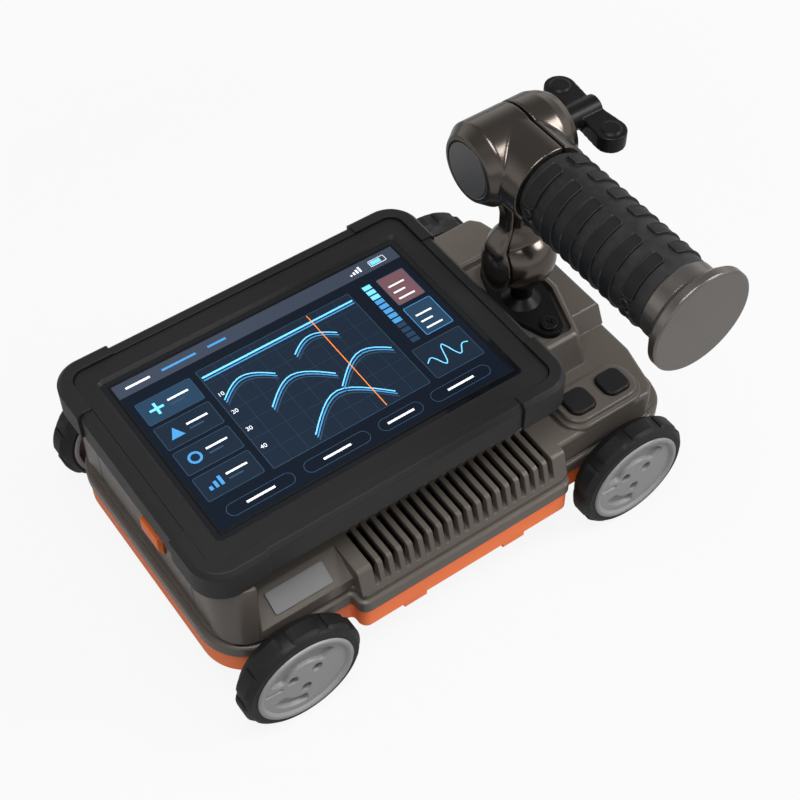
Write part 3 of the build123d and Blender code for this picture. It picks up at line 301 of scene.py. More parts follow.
# repeats a shape in rows along the Y axis and columns turned about it
def makeArrayTree():
    tree = bpy.data.node_groups.new("rowsAroundAxis", "GeometryNodeTree")
    tree.interface.new_socket("Geometry", in_out="INPUT", socket_type="NodeSocketGeometry")
    for label, kind, value in (("Rows", "NodeSocketInt", 1), ("Columns", "NodeSocketInt", 1),
                               ("First Row", "NodeSocketFloat", 0.0), ("Pitch", "NodeSocketFloat", 0.01),
                               ("First Turn", "NodeSocketFloat", 0.0)):
        socket = tree.interface.new_socket(label, in_out="INPUT", socket_type=kind)
        socket.default_value = value
    tree.interface.new_socket("Finish", in_out="INPUT", socket_type="NodeSocketMaterial")
    tree.interface.new_socket("Geometry", in_out="OUTPUT", socket_type="NodeSocketGeometry")
    start = addNode(tree, "NodeGroupInput")
    end = addNode(tree, "NodeGroupOutput")

    def link(source, target):
        tree.links.new(source, target)

    def math2(operation, first, second):
        node = addNode(tree, "ShaderNodeMath", operation=operation)
        for k, value in enumerate((first, second)):
            if isinstance(value, float):
                node.inputs[k].default_value = value
            else:
                link(value, node.inputs[k])
        return node.outputs[0]

    points = addNode(tree, "GeometryNodeMeshLine")
    link(math2("MULTIPLY", start.outputs["Rows"], start.outputs["Columns"]), points.inputs["Count"])
    index = addNode(tree, "GeometryNodeInputIndex").outputs[0]
    row = math2("FLOOR", math2("DIVIDE", index, start.outputs["Columns"]), 0.0)
    column = math2("MODULO", index, start.outputs["Columns"])
    along = math2("ADD", start.outputs["First Row"], math2("MULTIPLY", row, start.outputs["Pitch"]))
    step = math2("DIVIDE", 2 * math.pi, start.outputs["Columns"])
    turn = math2("ADD", start.outputs["First Turn"], math2("MULTIPLY", column, step))
    place = addNode(tree, "ShaderNodeCombineXYZ")
    link(along, place.inputs["Y"])
    angles = addNode(tree, "ShaderNodeCombineXYZ")
    link(turn, angles.inputs["Y"])
    rotation = addNode(tree, "FunctionNodeEulerToRotation")
    link(angles.outputs[0], rotation.inputs[0])
    spread = addNode(tree, "GeometryNodeSetPosition")
    link(points.outputs["Mesh"], spread.inputs["Geometry"])
    link(place.outputs[0], spread.inputs["Position"])
    copies = addNode(tree, "GeometryNodeInstanceOnPoints")
    link(spread.outputs["Geometry"], copies.inputs["Points"])
    link(start.outputs["Geometry"], copies.inputs["Instance"])
    link(rotation.outputs[0], copies.inputs["Rotation"])
    solid = addNode(tree, "GeometryNodeRealizeInstances")
    link(copies.outputs["Instances"], solid.inputs["Geometry"])
    paint = addNode(tree, "GeometryNodeSetMaterial")
    link(solid.outputs["Geometry"], paint.inputs["Geometry"])
    link(start.outputs["Finish"], paint.inputs["Material"])
    link(paint.outputs["Geometry"], end.inputs["Geometry"])
    return tree


arrayTree = makeArrayTree()


def repeatAround(name, unit, values):
    holder = bpy.data.objects.new(name, unit)
    scene.collection.objects.link(holder)
    modifier = holder.modifiers.new("rows", "NODES")
    modifier.node_group = arrayTree
    for item in arrayTree.interface.items_tree:
        if item.in_out == "INPUT" and item.name in values:
            modifier[item.identifier] = values[item.name]
    return evaluatedMesh(holder)


# sizes from here on are in millimetres and degrees
def turnedVert(bm, r, turn, along):
    return bm.verts.new((r * math.sin(turn) * mm, along * mm, r * math.cos(turn) * mm))


# quads from each ring of vertices to the next
def bridgeRings(bm, rings):
    faces = []
    for first, second in zip(rings, rings[1:]):
        for k in range(len(first)):
            n = (k + 1) % len(first)
            faces.append(bm.faces.new((first[k], first[n], second[n], second[k])))
    return faces


# closed ring turned about the Y axis from (radius, along) points
def turnedRing(name, profile, segments, sharpDegrees):
    bm = bmesh.new()
    rings = []
    for i in range(segments):
        turn = 2 * math.pi * i / segments
        rings.append([turnedVert(bm, r, turn, along) for r, along in profile])
    bridgeRings(bm, rings + rings[:1])
    return meshFrom(bm, name, sharpDegrees)


def joined(name, meshes, finish, move):
    bm = bmesh.new()
    for mesh in meshes:
        bm.from_mesh(mesh)
    bmesh.ops.transform(bm, matrix=move, verts=bm.verts)
    result = bpy.data.meshes.new(name)
    bm.to_mesh(result)
    bm.free()
    result.materials.append(finishes[finish])
    for face in result.polygons:
        face.material_index = 0
    return result


def softStep(value):
    value = min(max(value, 0.0), 1.0)
    return value * value * (3 - 2 * value)


# how far a point lies inside a rectangle with round corners
def insideRounded(x, y, halfX, halfY, corner):
    outX, outY = abs(x) - halfX + corner, abs(y) - halfY + corner
    return corner - math.hypot(max(outX, 0), max(outY, 0)) - min(max(outX, outY), 0)


# rubber grip: a turned sleeve with rows of raised pads, each with a bead round its edge,
# short pads and round studs in the end rows and long pads between them
gripSizes = {"rows": 6, "rowSpare": 0.4, "firstRow": 0.6, "shortColumns": 4, "shortTurn": 72.0,
             "shortFirst": -44.0, "sideColumns": 2, "longTurn": 162.0, "sideFirst": -89.0,
             "padWidth": 8.4, "padRise": 0.95, "padEdge": 0.35, "padFoot": 0.2, "padStep": 1.0,
             "padMiddle": 0.3, "padSharp": 60, "corner": 2.4, "sink": 2.0,
             "beadRise": 0.45, "beadIn": 0.55, "beadWidth": 0.24,
             "stations": [0, 0.12, 0.24, 0.36, 0.48, 0.6, 0.72, 0.86, 1.0, 1.2, 1.5, 1.9, 2.4, 3.2],
             "studR": 2.7, "studRise": 0.7, "studSegments": 32, "studSharp": 40,
             "studSection": [(0.0, -0.2), (0.2, 0.28), (0.4, 0.35), (0.7, 0.0), (1.35, 0.0)],
             "bodyR": 20.6, "neckR": 19.2, "swell": 16.0, "boreR": 9.2, "headEdge": (0.7, 0.8),
             "tailEdge": (0.9, 1.0), "segments": 96, "sharp": 35}


def gripPad(sizes, padTurn):
    radius = sizes["bodyR"]
    halfLong = math.radians(padTurn) / 2 * radius
    halfWide = sizes["padWidth"] / 2
    bm = bmesh.new()

    # stations close together at the edges, where the bead is
    def spots(half):
        reach = [half - s for s in sizes["stations"] if s < half - sizes["padMiddle"]]
        steps = max(int(reach[-1] / sizes["padStep"]), 1)
        middle = [reach[-1] * (steps - i) / steps for i in range(1, steps)]
        right = sorted(reach + middle)
        return [-v for v in reversed(right)] + [0.0] + right

    def point(s, y, r):
        return turnedVert(bm, r, s / radius, y)

    def height(s, y):
        inside = insideRounded(s, y, halfLong, halfWide, sizes["corner"])
        bead = sizes["beadRise"] * math.exp(-((inside - sizes["beadIn"]) / sizes["beadWidth"]) ** 2)
        return sizes["padRise"] * softStep(inside / sizes["padEdge"]) + bead - sizes["padFoot"]

    longSpots, wideSpots = spots(halfLong), spots(halfWide)
    across, along = len(longSpots) - 1, len(wideSpots) - 1
    top = [[point(s, y, radius + height(s, y)) for y in wideSpots] for s in longSpots]
    for i in range(across):
        for k in range(along):
            bm.faces.new((top[i][k], top[i + 1][k], top[i + 1][k + 1], top[i][k + 1]))
    floorR = radius - sizes["sink"]
    floor = [[point(s, side * halfWide, floorR) for side in (-1, 1)] for s in longSpots]
    for i in range(across):
        bm.faces.new((floor[i][0], floor[i][1], floor[i + 1][1], floor[i + 1][0]))
        bm.faces.new((top[i][0], floor[i][0], floor[i + 1][0], top[i + 1][0]))
        bm.faces.new((top[i][-1], top[i + 1][-1], floor[i + 1][1], floor[i][1]))
    bm.faces.new([*top[0], floor[0][1], floor[0][0]])
    bm.faces.new([*reversed(top[-1]), floor[-1][0], floor[-1][1]])
    return meshFrom(bm, "gripPad", sizes["padSharp"])


# a low round stud with a raised rim, turned about the line out of the grip
def gripStud(sizes):
    outer = sizes["studR"]
    crown = sizes["bodyR"] + sizes["studRise"]
    section = [(outer, sizes["bodyR"] - sizes["sink"])]
    section += [(outer - inset, crown + rise) for inset, rise in sizes["studSection"]]
    turns = [2 * math.pi * i / sizes["studSegments"] for i in range(sizes["studSegments"])]
    bm = bmesh.new()
    rings = []
    for r, z in section:
        rings.append([bm.verts.new((r * math.cos(t) * mm, r * math.sin(t) * mm, z * mm)) for t in turns])
    bridgeRings(bm, rings)
    bm.faces.new(rings[0])
    bm.faces.new(rings[-1])
    return meshFrom(bm, "gripStud", sizes["studSharp"])


def makeGrip(sizes):
    low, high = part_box("grip_sleeve")
    length = (high[1] - low[1]) / mm
    pitch = length / (sizes["rows"] + sizes["rowSpare"])
    boreR, neckR, bodyR = sizes["boreR"], sizes["neckR"], sizes["bodyR"]
    headR, headY = sizes["headEdge"]
    tailR, tailY = sizes["tailEdge"]
    profile = [(boreR, 0), (neckR - headR, 0), (neckR, -headY), (bodyR, -sizes["swell"]),
               (bodyR, -length + tailY), (bodyR - tailR, -length), (boreR, -length)]
    body = turnedRing("gripBody", profile, sizes["segments"], sizes["sharp"])
    endRows = {"Rows": 2, "First Row": -sizes["firstRow"] * pitch * mm,
               "Pitch": -(sizes["rows"] - 1) * pitch * mm}
    midRows = {"Rows": sizes["rows"] - 2, "First Row": -(sizes["firstRow"] + 1) * pitch * mm,
               "Pitch": -pitch * mm}
    shortTurns = {"Columns": sizes["shortColumns"], "First Turn": math.radians(sizes["shortFirst"]),
                  "Finish": finishes["grip"]}
    sideTurns = {"Columns": sizes["sideColumns"], "First Turn": math.radians(sizes["sideFirst"]),
                 "Finish": finishes["grip"]}
    raised = [
        repeatAround("shortPads", gripPad(sizes, sizes["shortTurn"]), {**endRows, **shortTurns}),
        repeatAround("longPads", gripPad(sizes, sizes["longTurn"]), {**midRows, **sideTurns}),
        repeatAround("gripStuds", gripStud(sizes), {**endRows, **sideTurns}),
    ]
    axis = Matrix.Translation(((low[0] + high[0]) / 2, high[1], (low[2] + high[2]) / 2))
    mesh = joined("gripSleeve", [body, *raised], "grip", axis)
    newPiece("gripSleeve", mesh, "arm", ["grip_sleeve"])


makeGrip(gripSizes)
print("grip made:", gripSizes["rows"], "rows of pads")


# each wheel's name, its axle's body and the place of its outer face
def wheelPlaces():
    for end in ("left", "right"):
        for side in ("front", "rear"):
            low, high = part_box(f"hub_{side}_{end}")
            face = low[1] if side == "front" else high[1]
            place = Matrix.Translation(((low[0] + high[0]) / 2, face, (low[2] + high[2]) / 2))
            turn = Matrix.Rotation(0.0 if side == "front" else math.pi, 4, "Z")
            yield f"{side}_{end}", end + "_axle", place @ turn


# tyres: a turned carcass with chamfered lug blocks round the tread
tyreSizes = {"lugs": 10, "firstTurn": 7.0, "lugTurn": 27.5, "lugSteps": 10, "lugEnd": 0.75,
             "lugSink": 1.5, "lugSharp": 30, "segments": 120, "sharp": 35,
             "carcass": [(28.1, 1.2), (31.4, 1.2), (32.6, 2.2), (33.2, 3.2), (33.2, 12.6), (32.4, 14.0),
                         (29.6, 17.15), (28.1, 17.15)],
             "section": [(31.0, 1.9), (33.1, 2.5), (34.6, 4.6), (34.6, 11.8), (33.2, 13.6), (30.6, 15.6)]}


# cross-sections swept round the axle, drawn in a little at both ends
def lugBlock(sizes):
    half = math.radians(sizes["lugTurn"]) / 2
    count = sizes["lugSteps"]
    outline = sizes["section"]
    foot = [(r - sizes["lugSink"], y) for r, y in (outline[-1], outline[0])]
    bm = bmesh.new()
    rings = []
    for i in range(count + 1):
        turn = half * (2 * i / count - 1)
        drop = sizes["lugEnd"] if i in (0, count) else 0.0
        section = [(r - drop, y) for r, y in outline] + foot
        rings.append([turnedVert(bm, r, turn, y) for r, y in section])
    bridgeRings(bm, rings)
    bm.faces.new(rings[0])
    bm.faces.new(rings[-1])
    return meshFrom(bm, "lugBlock", sizes["lugSharp"])


def makeTyres(sizes):
    carcass = turnedRing("tyreCarcass", sizes["carcass"], sizes["segments"], sizes["sharp"])
    lugs = repeatAround("tyreLugs", lugBlock(sizes), {
        "Rows": 1,
        "Columns": sizes["lugs"],
        "First Turn": math.radians(sizes["firstTurn"]),
        "Finish": finishes["tyre"],
    })
    for wheel, axle, place in wheelPlaces():
        node = "tyre_" + wheel
        mesh = joined(node + "_tread", [carcass, lugs], "tyre", place)
        newPiece(node + "_tread", mesh, axle, [node])


makeTyres(tyreSizes)
print("tyres made:", 4 * tyreSizes["lugs"], "lugs")

# hubs: dished face with two kidney recesses, a slot and three screw wells
# a kidney is middle radius, half width, first and last degree
# the slot is degree, middle radius, half length, half width
hubSizes = {"r": 28.0, "width": 17.8, "rimIn": 25.4, "rimStep": 0.25, "rimEdge": 0.4, "dishR": 24.6,
            "drop": 1.5, "backFloor": 7.0, "coreR": 14.5, "flange": 14.8, "step": 0.4, "segments": 216,
            "sharp": 50, "edge": 0.7, "recess": 2.5, "corner": 2.2,
            "kidneys": [(17.3, 4.7, 34.0, 157.0), (17.4, 3.5, 205.0, 272.0)],
            "slot": (172.0, 18.5, 5.5, 1.2), "slotShare": 0.6,
            "wellTurns": (30, 150, 270), "wellRing": 8.2, "wellR": 3.0, "wellDepth": 7.0, "wellEdge": 0.5}


# how deep the face lies behind the rim
def hubDepth(sizes, r, degrees):
    depth = sizes["drop"]
    for midR, halfW, start, stop in sizes["kidneys"]:
        arc = math.radians(degrees - (start + stop) / 2) * r
        halfArc = math.radians(stop - start) / 2 * r
        inside = insideRounded(r - midR, arc, halfW, halfArc, sizes["corner"])
        depth += sizes["recess"] * softStep(inside / sizes["edge"])
    turn, midR, halfL, halfW = sizes["slot"]
    lean = math.radians(degrees - turn)
    inside = insideRounded(r * math.cos(lean) - midR, r * math.sin(lean), halfL, halfW, halfW)
    depth += sizes["recess"] * sizes["slotShare"] * softStep(inside / sizes["edge"])
    for wellTurn in sizes["wellTurns"]:
        lean = math.radians(degrees - wellTurn)
        away = math.hypot(r * math.cos(lean) - sizes["wellRing"], r * math.sin(lean))
        depth += sizes["wellDepth"] * softStep((sizes["wellR"] - away) / sizes["wellEdge"])
    return depth


def hubShell(sizes):
    r, width, rimIn, edge = sizes["r"], sizes["width"], sizes["rimIn"], sizes["rimEdge"]
    count = int(sizes["dishR"] / sizes["step"])
    stations = [(k * sizes["step"], None) for k in range(1, count + 1)]
    stations += [(rimIn, sizes["rimStep"]), (rimIn + edge, 0.0), (r - edge, 0.0), (r, edge),
                 (r, width - edge), (r - edge, width), (rimIn, width), (rimIn, sizes["backFloor"]),
                 (sizes["coreR"], sizes["backFloor"]), (sizes["coreR"], sizes["flange"])]
    bm = bmesh.new()
    rings = []
    for stationR, depth in stations:
        ring = []
        for i in range(sizes["segments"]):
            degrees = 360 * i / sizes["segments"]
            t = math.radians(degrees)
            y = hubDepth(sizes, stationR, degrees) if depth is None else depth
            ring.append(bm.verts.new((stationR * math.cos(t) * mm, y * mm, stationR * math.sin(t) * mm)))
        rings.append(ring)
    bridgeRings(bm, rings)
    for ring, depth in ((rings[0], sizes["drop"]), (rings[-1], sizes["flange"])):
        middle = bm.verts.new((0, depth * mm, 0))
        for i in range(sizes["segments"]):
            bm.faces.new((ring[i], ring[(i + 1) % sizes["segments"]], middle))
    return meshFrom(bm, "hubShell", sizes["sharp"])


def makeHubs(sizes):
    shell = hubShell(sizes)
    for wheel, axle, place in wheelPlaces():
        node = "hub_" + wheel
        mesh = joined(node + "_dish", [shell], "hub", place)
        newPiece(node + "_dish", mesh, axle, [node])


makeHubs(hubSizes)
print("hubs made: 4")

# cast pieces: the solids with their edges run soft, as they leave the mould
# a grid is voxel size and rounds of smoothing
castSizes = {"armGrid": (0.52, 7), "knobGrid": (0.45, 6), "weld": 0.001, "smoothing": 0.5,
             "waist": 0.64, "waistLow": (132.0, 147.0), "waistHigh": (152.0, 179.0), "axisBack": 3.3}


def softCopy(node, finish, sizes, grid):
    voxel, rounds = grid
    bm = bmesh.new()
    bm.from_mesh(nodes[node].data)
    bmesh.ops.remove_doubles(bm, verts=bm.verts, dist=sizes["weld"] * mm)
    mesh = bpy.data.meshes.new(node + "_soft")
    bm.to_mesh(mesh)
    bm.free()
    holder = bpy.data.objects.new(node + "_soft", mesh)
    scene.collection.objects.link(holder)
    remesh = holder.modifiers.new("remesh", "REMESH")
    remesh.mode = "VOXEL"
    remesh.voxel_size = voxel * mm
    smooth = holder.modifiers.new("smooth", "SMOOTH")
    smooth.factor = sizes["smoothing"]
    smooth.iterations = rounds
    result = evaluatedMesh(holder)
    result.shade_smooth()
    result.materials.clear()
    result.materials.append(finishes[finish])
    return result


# the neck is drawn in to a waist between the socket and the head
def drawWaist(mesh, sizes, axisX):
    low0, low1 = sizes["waistLow"]
    high0, high1 = sizes["waistHigh"]
    for vert in mesh.vertices:
        z = vert.co.z / mm
        draw = softStep((z - low0) / (low1 - low0)) * (1 - softStep((z - high0) / (high1 - high0)))
        share = 1 - (1 - sizes["waist"]) * draw
        vert.co.x = axisX + (vert.co.x - axisX) * share
        vert.co.y *= share


def makeCastings(sizes):
    low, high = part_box("liner_cup")
    axisX = (low[0] + high[0]) / 2 - sizes["axisBack"] * mm
    for node in ("arm_front_half", "arm_rear_half"):
        mesh = softCopy(node, "arm", sizes, sizes["armGrid"])
        drawWaist(mesh, sizes, axisX)
        newPiece(node + "_cast", mesh, "arm", [node])
    knob = softCopy("wing_knob", "black", sizes, sizes["knobGrid"])
    newPiece("wing_knob_cast", knob, "knob", ["wing_knob"])


makeCastings(castSizes)
print("castings made: arm halves and knob")

# picture on the display: a generic scan view in thin layers over the glass
screenColours = {
    "navy": (0.0040, 0.0065, 0.0120),
    "slate": (0.028, 0.036, 0.054),
    "field": (0.0075, 0.0135, 0.0240),
    "tile": (0.013, 0.032, 0.060),
    "line": (0.022, 0.045, 0.075),
    "blue": (0.045, 0.200, 0.420),
    "sky": (0.130, 0.480, 0.780),
    "pale": (0.62, 0.66, 0.70),
    "mauve": (0.105, 0.052, 0.062),
    "amber": (0.80, 0.20, 0.035),
}
screenLook = {"grain": 2600.0, "blotch": 16.0, "rough": (0.14, 0.24), "bump": 0.01, "spec": 0.12,
              "glow": 0.85}
screenSizes = {"edge": 1.2, "lift": 0.02, "layer": 0.045, "thick": 0.03, "stroke": 0.35,
               "leastCorner": 0.1, "arcStep": 15, "tintShare": 0.94}


class ScreenDrawing:
    def __init__(self, sizes, origin):
        self.bm = bmesh.new()
        self.sizes = sizes
        self.origin = origin

    def levelZ(self, level):
        return self.origin.z + (self.sizes["lift"] + level * self.sizes["layer"]) * mm

    def paint(self, faces, colour):
        for face in faces:
            face.material_index = list(screenColours).index(colour)

    def plate(self, points, colour, level):
        low = self.levelZ(level)
        rings = []
        for z in (low, low + self.sizes["thick"] * mm):
            spots = [(self.origin.x + x * mm, self.origin.y + y * mm, z) for x, y in points]
            rings.append([self.bm.verts.new(spot) for spot in spots])
        faces = [self.bm.faces.new(list(reversed(rings[0]))), self.bm.faces.new(rings[1])]
        self.paint(faces + bridgeRings(self.bm, rings), colour)

    def rect(self, x0, y0, x1, y1, colour, level):
        self.plate([(x0, y0), (x1, y0), (x1, y1), (x0, y1)], colour, level)

    def rounded(self, x0, y0, x1, y1, r, colour, level):
        step = self.sizes["arcStep"]
        corners = ((x1 - r, y0 + r, -90), (x1 - r, y1 - r, 0), (x0 + r, y1 - r, 90), (x0 + r, y0 + r, 180))
        points = []
        for cx, cy, start in corners:
            for k in range(90 // step + 1):
                turn = math.radians(start + step * k)
                points.append((cx + r * math.cos(turn), cy + r * math.sin(turn)))
        self.plate(points, colour, level)

    def frame(self, x0, y0, x1, y1, r, colour, inner, level):
        stroke = self.sizes["stroke"]
        innerR = max(r - stroke, self.sizes["leastCorner"])
        self.rounded(x0, y0, x1, y1, r, colour, level)
        self.rounded(x0 + stroke, y0 + stroke, x1 - stroke, y1 - stroke, innerR, inner, level + 1)

    def line(self, points, width, colour, level):
        for (ax, ay), (bx, by) in zip(points, points[1:]):
            run = math.hypot(bx - ax, by - ay)
            sx, sy = -(by - ay) / run * width / 2, (bx - ax) / run * width / 2
            corners = [(ax + sx, ay + sy), (ax - sx, ay - sy), (bx - sx, by - sy), (bx + sx, by + sy)]
            self.plate(corners, colour, level)

    def disc(self, x, y, r, colour, level):
        step = self.sizes["arcStep"]
        turns = [math.radians(step * k) for k in range(360 // step)]
        self.plate([(x + r * math.cos(t), y + r * math.sin(t)) for t in turns], colour, level)


# bars along the top and the bottom
# the signal, battery and charge marks are placed from the top right corner
barSizes = {"depth": 9.5, "labels": [(6, 20, "pale"), (27, 47, "blue"), (54, 65, "blue")], "labelHalf": 0.7,
            "signals": 4, "signal": (30.0, 6.6, 28.8, 5.6), "signalPitch": 2.0, "signalRise": 1.0,
            "battery": (17.0, 7.0, 7.0, 2.6), "batteryCorner": 0.6, "charge": (16.2, 6.2, 10.0, 3.4),
            "keys": [(8, 46), (52, 90), (96, 122), (128, 164)], "keyY": (4.0, 12.0), "keyCorner": 3.9,
            "keyMark": 8.0, "keyMarkY": (7.3, 8.6)}


def drawBars(draw, sizes, width, height):
    middleY = height - sizes["depth"] / 2
    draw.rect(0, height - sizes["depth"], width, height, "slate", 1)
    for x0, x1, tone in sizes["labels"]:
        draw.rect(x0, middleY - sizes["labelHalf"], x1, middleY + sizes["labelHalf"], tone, 2)
    left, low, right, high = sizes["signal"]
    for k in range(sizes["signals"]):
        shift, rise = sizes["signalPitch"] * k, sizes["signalRise"] * k
        draw.rect(width - left + shift, height - low, width - right + shift, height - high + rise, "pale", 2)
    left, low, right, high = sizes["battery"]
    draw.frame(width - left, height - low, width - right, height - high, sizes["batteryCorner"],
               "pale", "slate", 2)
    left, low, right, high = sizes["charge"]
    draw.rect(width - left, height - low, width - right, height - high, "sky", 4)
    keyLow, keyHigh = sizes["keyY"]
    markLow, markHigh = sizes["keyMarkY"]
    for x0, x1 in sizes["keys"]:
        middleX = (x0 + x1) / 2
        draw.frame(x0, keyLow, x1, keyHigh, sizes["keyCorner"], "line", "navy", 1)
        draw.rect(middleX - sizes["keyMark"], markLow, middleX + sizes["keyMark"], markHigh, "pale", 3)


# tiles down the left side, each with an icon and two bare caption lines
tileSizes = {"count": 4, "lit": 3, "left": 4.0, "right": 36.0, "low": 17.0, "high": 92.0, "gap": 1.2,
             "corner": 1.2, "iconX": 8.5,
             "bars": [(-4.0, -3.0, -2.2, -0.5), (-0.9, -3.0, 0.9, 1.2), (2.2, -3.0, 4.0, 2.9)],
             "ring": (3.8, 2.4), "triangle": [(-3.8, -3.2), (3.8, -3.2), (0.0, 3.8)], "cross": (4.0, 1.5),
             "captions": [(7.0, 1.0, 19.0, 2.2, "pale"), (7.0, -2.2, 15.0, -1.2, "line")]}


def drawTiles(draw, sizes):
    step = (sizes["high"] - sizes["low"]) / sizes["count"]
    for k in range(sizes["count"]):
        y0 = sizes["low"] + k * step + sizes["gap"]
        y1 = sizes["low"] + (k + 1) * step - sizes["gap"]
        inner, tone = ("tile", "sky") if k == sizes["lit"] else ("field", "blue")
        draw.frame(sizes["left"], y0, sizes["right"], y1, sizes["corner"], "line", inner, 1)
        cx, cy = sizes["left"] + sizes["iconX"], (y0 + y1) / 2
        if k == 0:
            for left, low, right, high in sizes["bars"]:
                draw.rect(cx + left, cy + low, cx + right, cy + high, tone, 3)
        elif k == 1:
            outer, hole = sizes["ring"]
            draw.disc(cx, cy, outer, tone, 3)
            draw.disc(cx, cy, hole, "field", 4)
        elif k == 2:
            draw.plate([(cx + x, cy + y) for x, y in sizes["triangle"]], tone, 3)
        else:
            reach, stroke = sizes["cross"]
            draw.line([(cx - reach, cy), (cx + reach, cy)], stroke, tone, 3)
            draw.line([(cx, cy - reach), (cx, cy + reach)], stroke, tone, 4)
        for left, low, right, high, colour in sizes["captions"]:
            draw.rect(cx + left, cy + low, cx + right, cy + high, colour, 3)


# hyperbolic echoes under a flat surface band, as a scan shows them
plotSizes = {"box": (40.0, 17.0, 134.0, 92.0), "corner": 0.8, "inset": 1.0, "gridX": 9, "gridY": 7,
             "gridHalf": 0.1, "gridInset": 0.6, "bands": [(6.2, 5.0, "sky"), (8.0, 7.2, "blue")],
             "echoes": [(58, 76, 15), (79, 62, 19), (101, 79, 13), (117, 55, 21), (92, 40, 24)],
             "trails": [(0.0, "sky", 0.75), (-2.0, "blue", 0.7), (-4.0, "line", 0.6)], "halfSteps": 6,
             "bend": 14.0, "spread": 12.0, "surface": 9.0, "cursor": (67.0, 67.5), "cursorInset": 0.8}


def drawPlot(draw, sizes):
    x0, y0, x1, y1 = sizes["box"]
    inset, gridHalf, gridInset = sizes["inset"], sizes["gridHalf"], sizes["gridInset"]
    draw.frame(x0, y0, x1, y1, sizes["corner"], "line", "field", 1)
    for i in range(1, sizes["gridX"]):
        x = x0 + (x1 - x0) * i / sizes["gridX"]
        draw.rect(x - gridHalf, y0 + gridInset, x + gridHalf, y1 - gridInset, "tile", 3)
    for k in range(1, sizes["gridY"]):
        y = y0 + (y1 - y0) * k / sizes["gridY"]
        draw.rect(x0 + gridInset, y - gridHalf, x1 - gridInset, y + gridHalf, "tile", 4)
    for below, above, tone in sizes["bands"]:
        draw.rect(x0 + inset, y1 - below, x1 - inset, y1 - above, tone, 5)
    for apexX, apexY, reach in sizes["echoes"]:
        for shift, tone, width in sizes["trails"]:
            arc = []
            for i in range(2 * sizes["halfSteps"] + 1):
                off = reach * (i / sizes["halfSteps"] - 1)
                fall = sizes["bend"] * (math.sqrt(1 + (off / sizes["spread"]) ** 2) - 1)
                x, y = apexX + off, apexY + shift - fall
                if x0 + inset < x < x1 - inset and y0 + inset < y < y1 - sizes["surface"]:
                    arc.append((x, y))
            draw.line(arc, width, tone, 6)
    near, far = sizes["cursor"]
    draw.rect(x0 + near, y0 + sizes["cursorInset"], x0 + far, y1 - sizes["cursorInset"], "amber", 8)


# level bars, two cards and a wave trace down the right side
sideSizes = {"left": 138.0, "margin": 4.0, "levels": 12, "levelX": (4.0, 9.0), "levelLow": 44.0,
             "levelPitch": 4.0, "levelHeight": 3.0, "skyFrom": 9, "blueFrom": 4, "cardX": 13.0,
             "cardCorner": 1.0, "cards": [(44.0, 66.0, "blue", "tile"), (69.0, 91.0, "line", "mauve")],
             "rowX": 16.0, "rowLows": (47.5, 72.5), "rows": (9.9, 7.2, 9.9), "rowPitch": 5.0,
             "rowHeight": 1.1, "traceBox": (17.0, 40.0), "traceCorner": 1.2, "traceX": 2.0, "traceY": 28.0,
             "tracePoints": 20, "traceStep": 1.35, "swing": 7.0, "swingTurn": 0.8, "swingMiddle": 9,
             "swingSpread": 6.5, "stroke": 0.6}


def drawSide(draw, sizes, width):
    left, right = sizes["left"], width - sizes["margin"]
    near, far = sizes["levelX"]
    for k in range(sizes["levels"]):
        y = sizes["levelLow"] + sizes["levelPitch"] * k
        tone = "sky" if k >= sizes["skyFrom"] else "blue" if k >= sizes["blueFrom"] else "tile"
        draw.rect(left + near, y, left + far, y + sizes["levelHeight"], tone, 1)
    for low, high, edge, inner in sizes["cards"]:
        draw.frame(left + sizes["cardX"], low, right, high, sizes["cardCorner"], edge, inner, 1)
    rowX = left + sizes["rowX"]
    for low in sizes["rowLows"]:
        for k, reach in enumerate(sizes["rows"]):
            y = low + sizes["rowPitch"] * k
            draw.rect(rowX, y, rowX + reach, y + sizes["rowHeight"], "pale", 3)
    low, high = sizes["traceBox"]
    draw.frame(left, low, right, high, sizes["traceCorner"], "line", "field", 1)
    trace = []
    for i in range(sizes["tracePoints"]):
        swell = math.exp(-((i - sizes["swingMiddle"]) / sizes["swingSpread"]) ** 2)
        y = sizes["traceY"] + sizes["swing"] * math.sin(i * sizes["swingTurn"]) * swell
        trace.append((left + sizes["traceX"] + i * sizes["traceStep"], y))
    draw.line(trace, sizes["stroke"], "sky", 3)


# depth numbers down the plot's left edge
numberSizes = {"count": 4, "step": 10, "size": 3.6, "inset": 1.6, "surface": 8.0, "level": 9}


def drawNumbers(draw, sizes, plotBox):
    left, low, _, high = plotBox
    top = high - sizes["surface"]
    for k in range(1, sizes["count"] + 1):
        curve = bpy.data.curves.new("scaleNumber", "FONT")
        curve.body = str(sizes["step"] * k)
        curve.size = sizes["size"] * mm
        curve.extrude = draw.sizes["thick"] / 2 * mm
        holder = bpy.data.objects.new("scaleNumber", curve)
        scene.collection.objects.link(holder)
        mesh = evaluatedMesh(holder)
        x = draw.origin.x + (left + sizes["inset"]) * mm
        y = draw.origin.y + (top - (top - low) * k / (sizes["count"] + 1)) * mm
        mesh.transform(Matrix.Translation((x, y, draw.levelZ(sizes["level"]))))
        count = len(draw.bm.faces)
        draw.bm.from_mesh(mesh)
        draw.bm.faces.ensure_lookup_table()
        draw.paint(draw.bm.faces[count:], "pale")


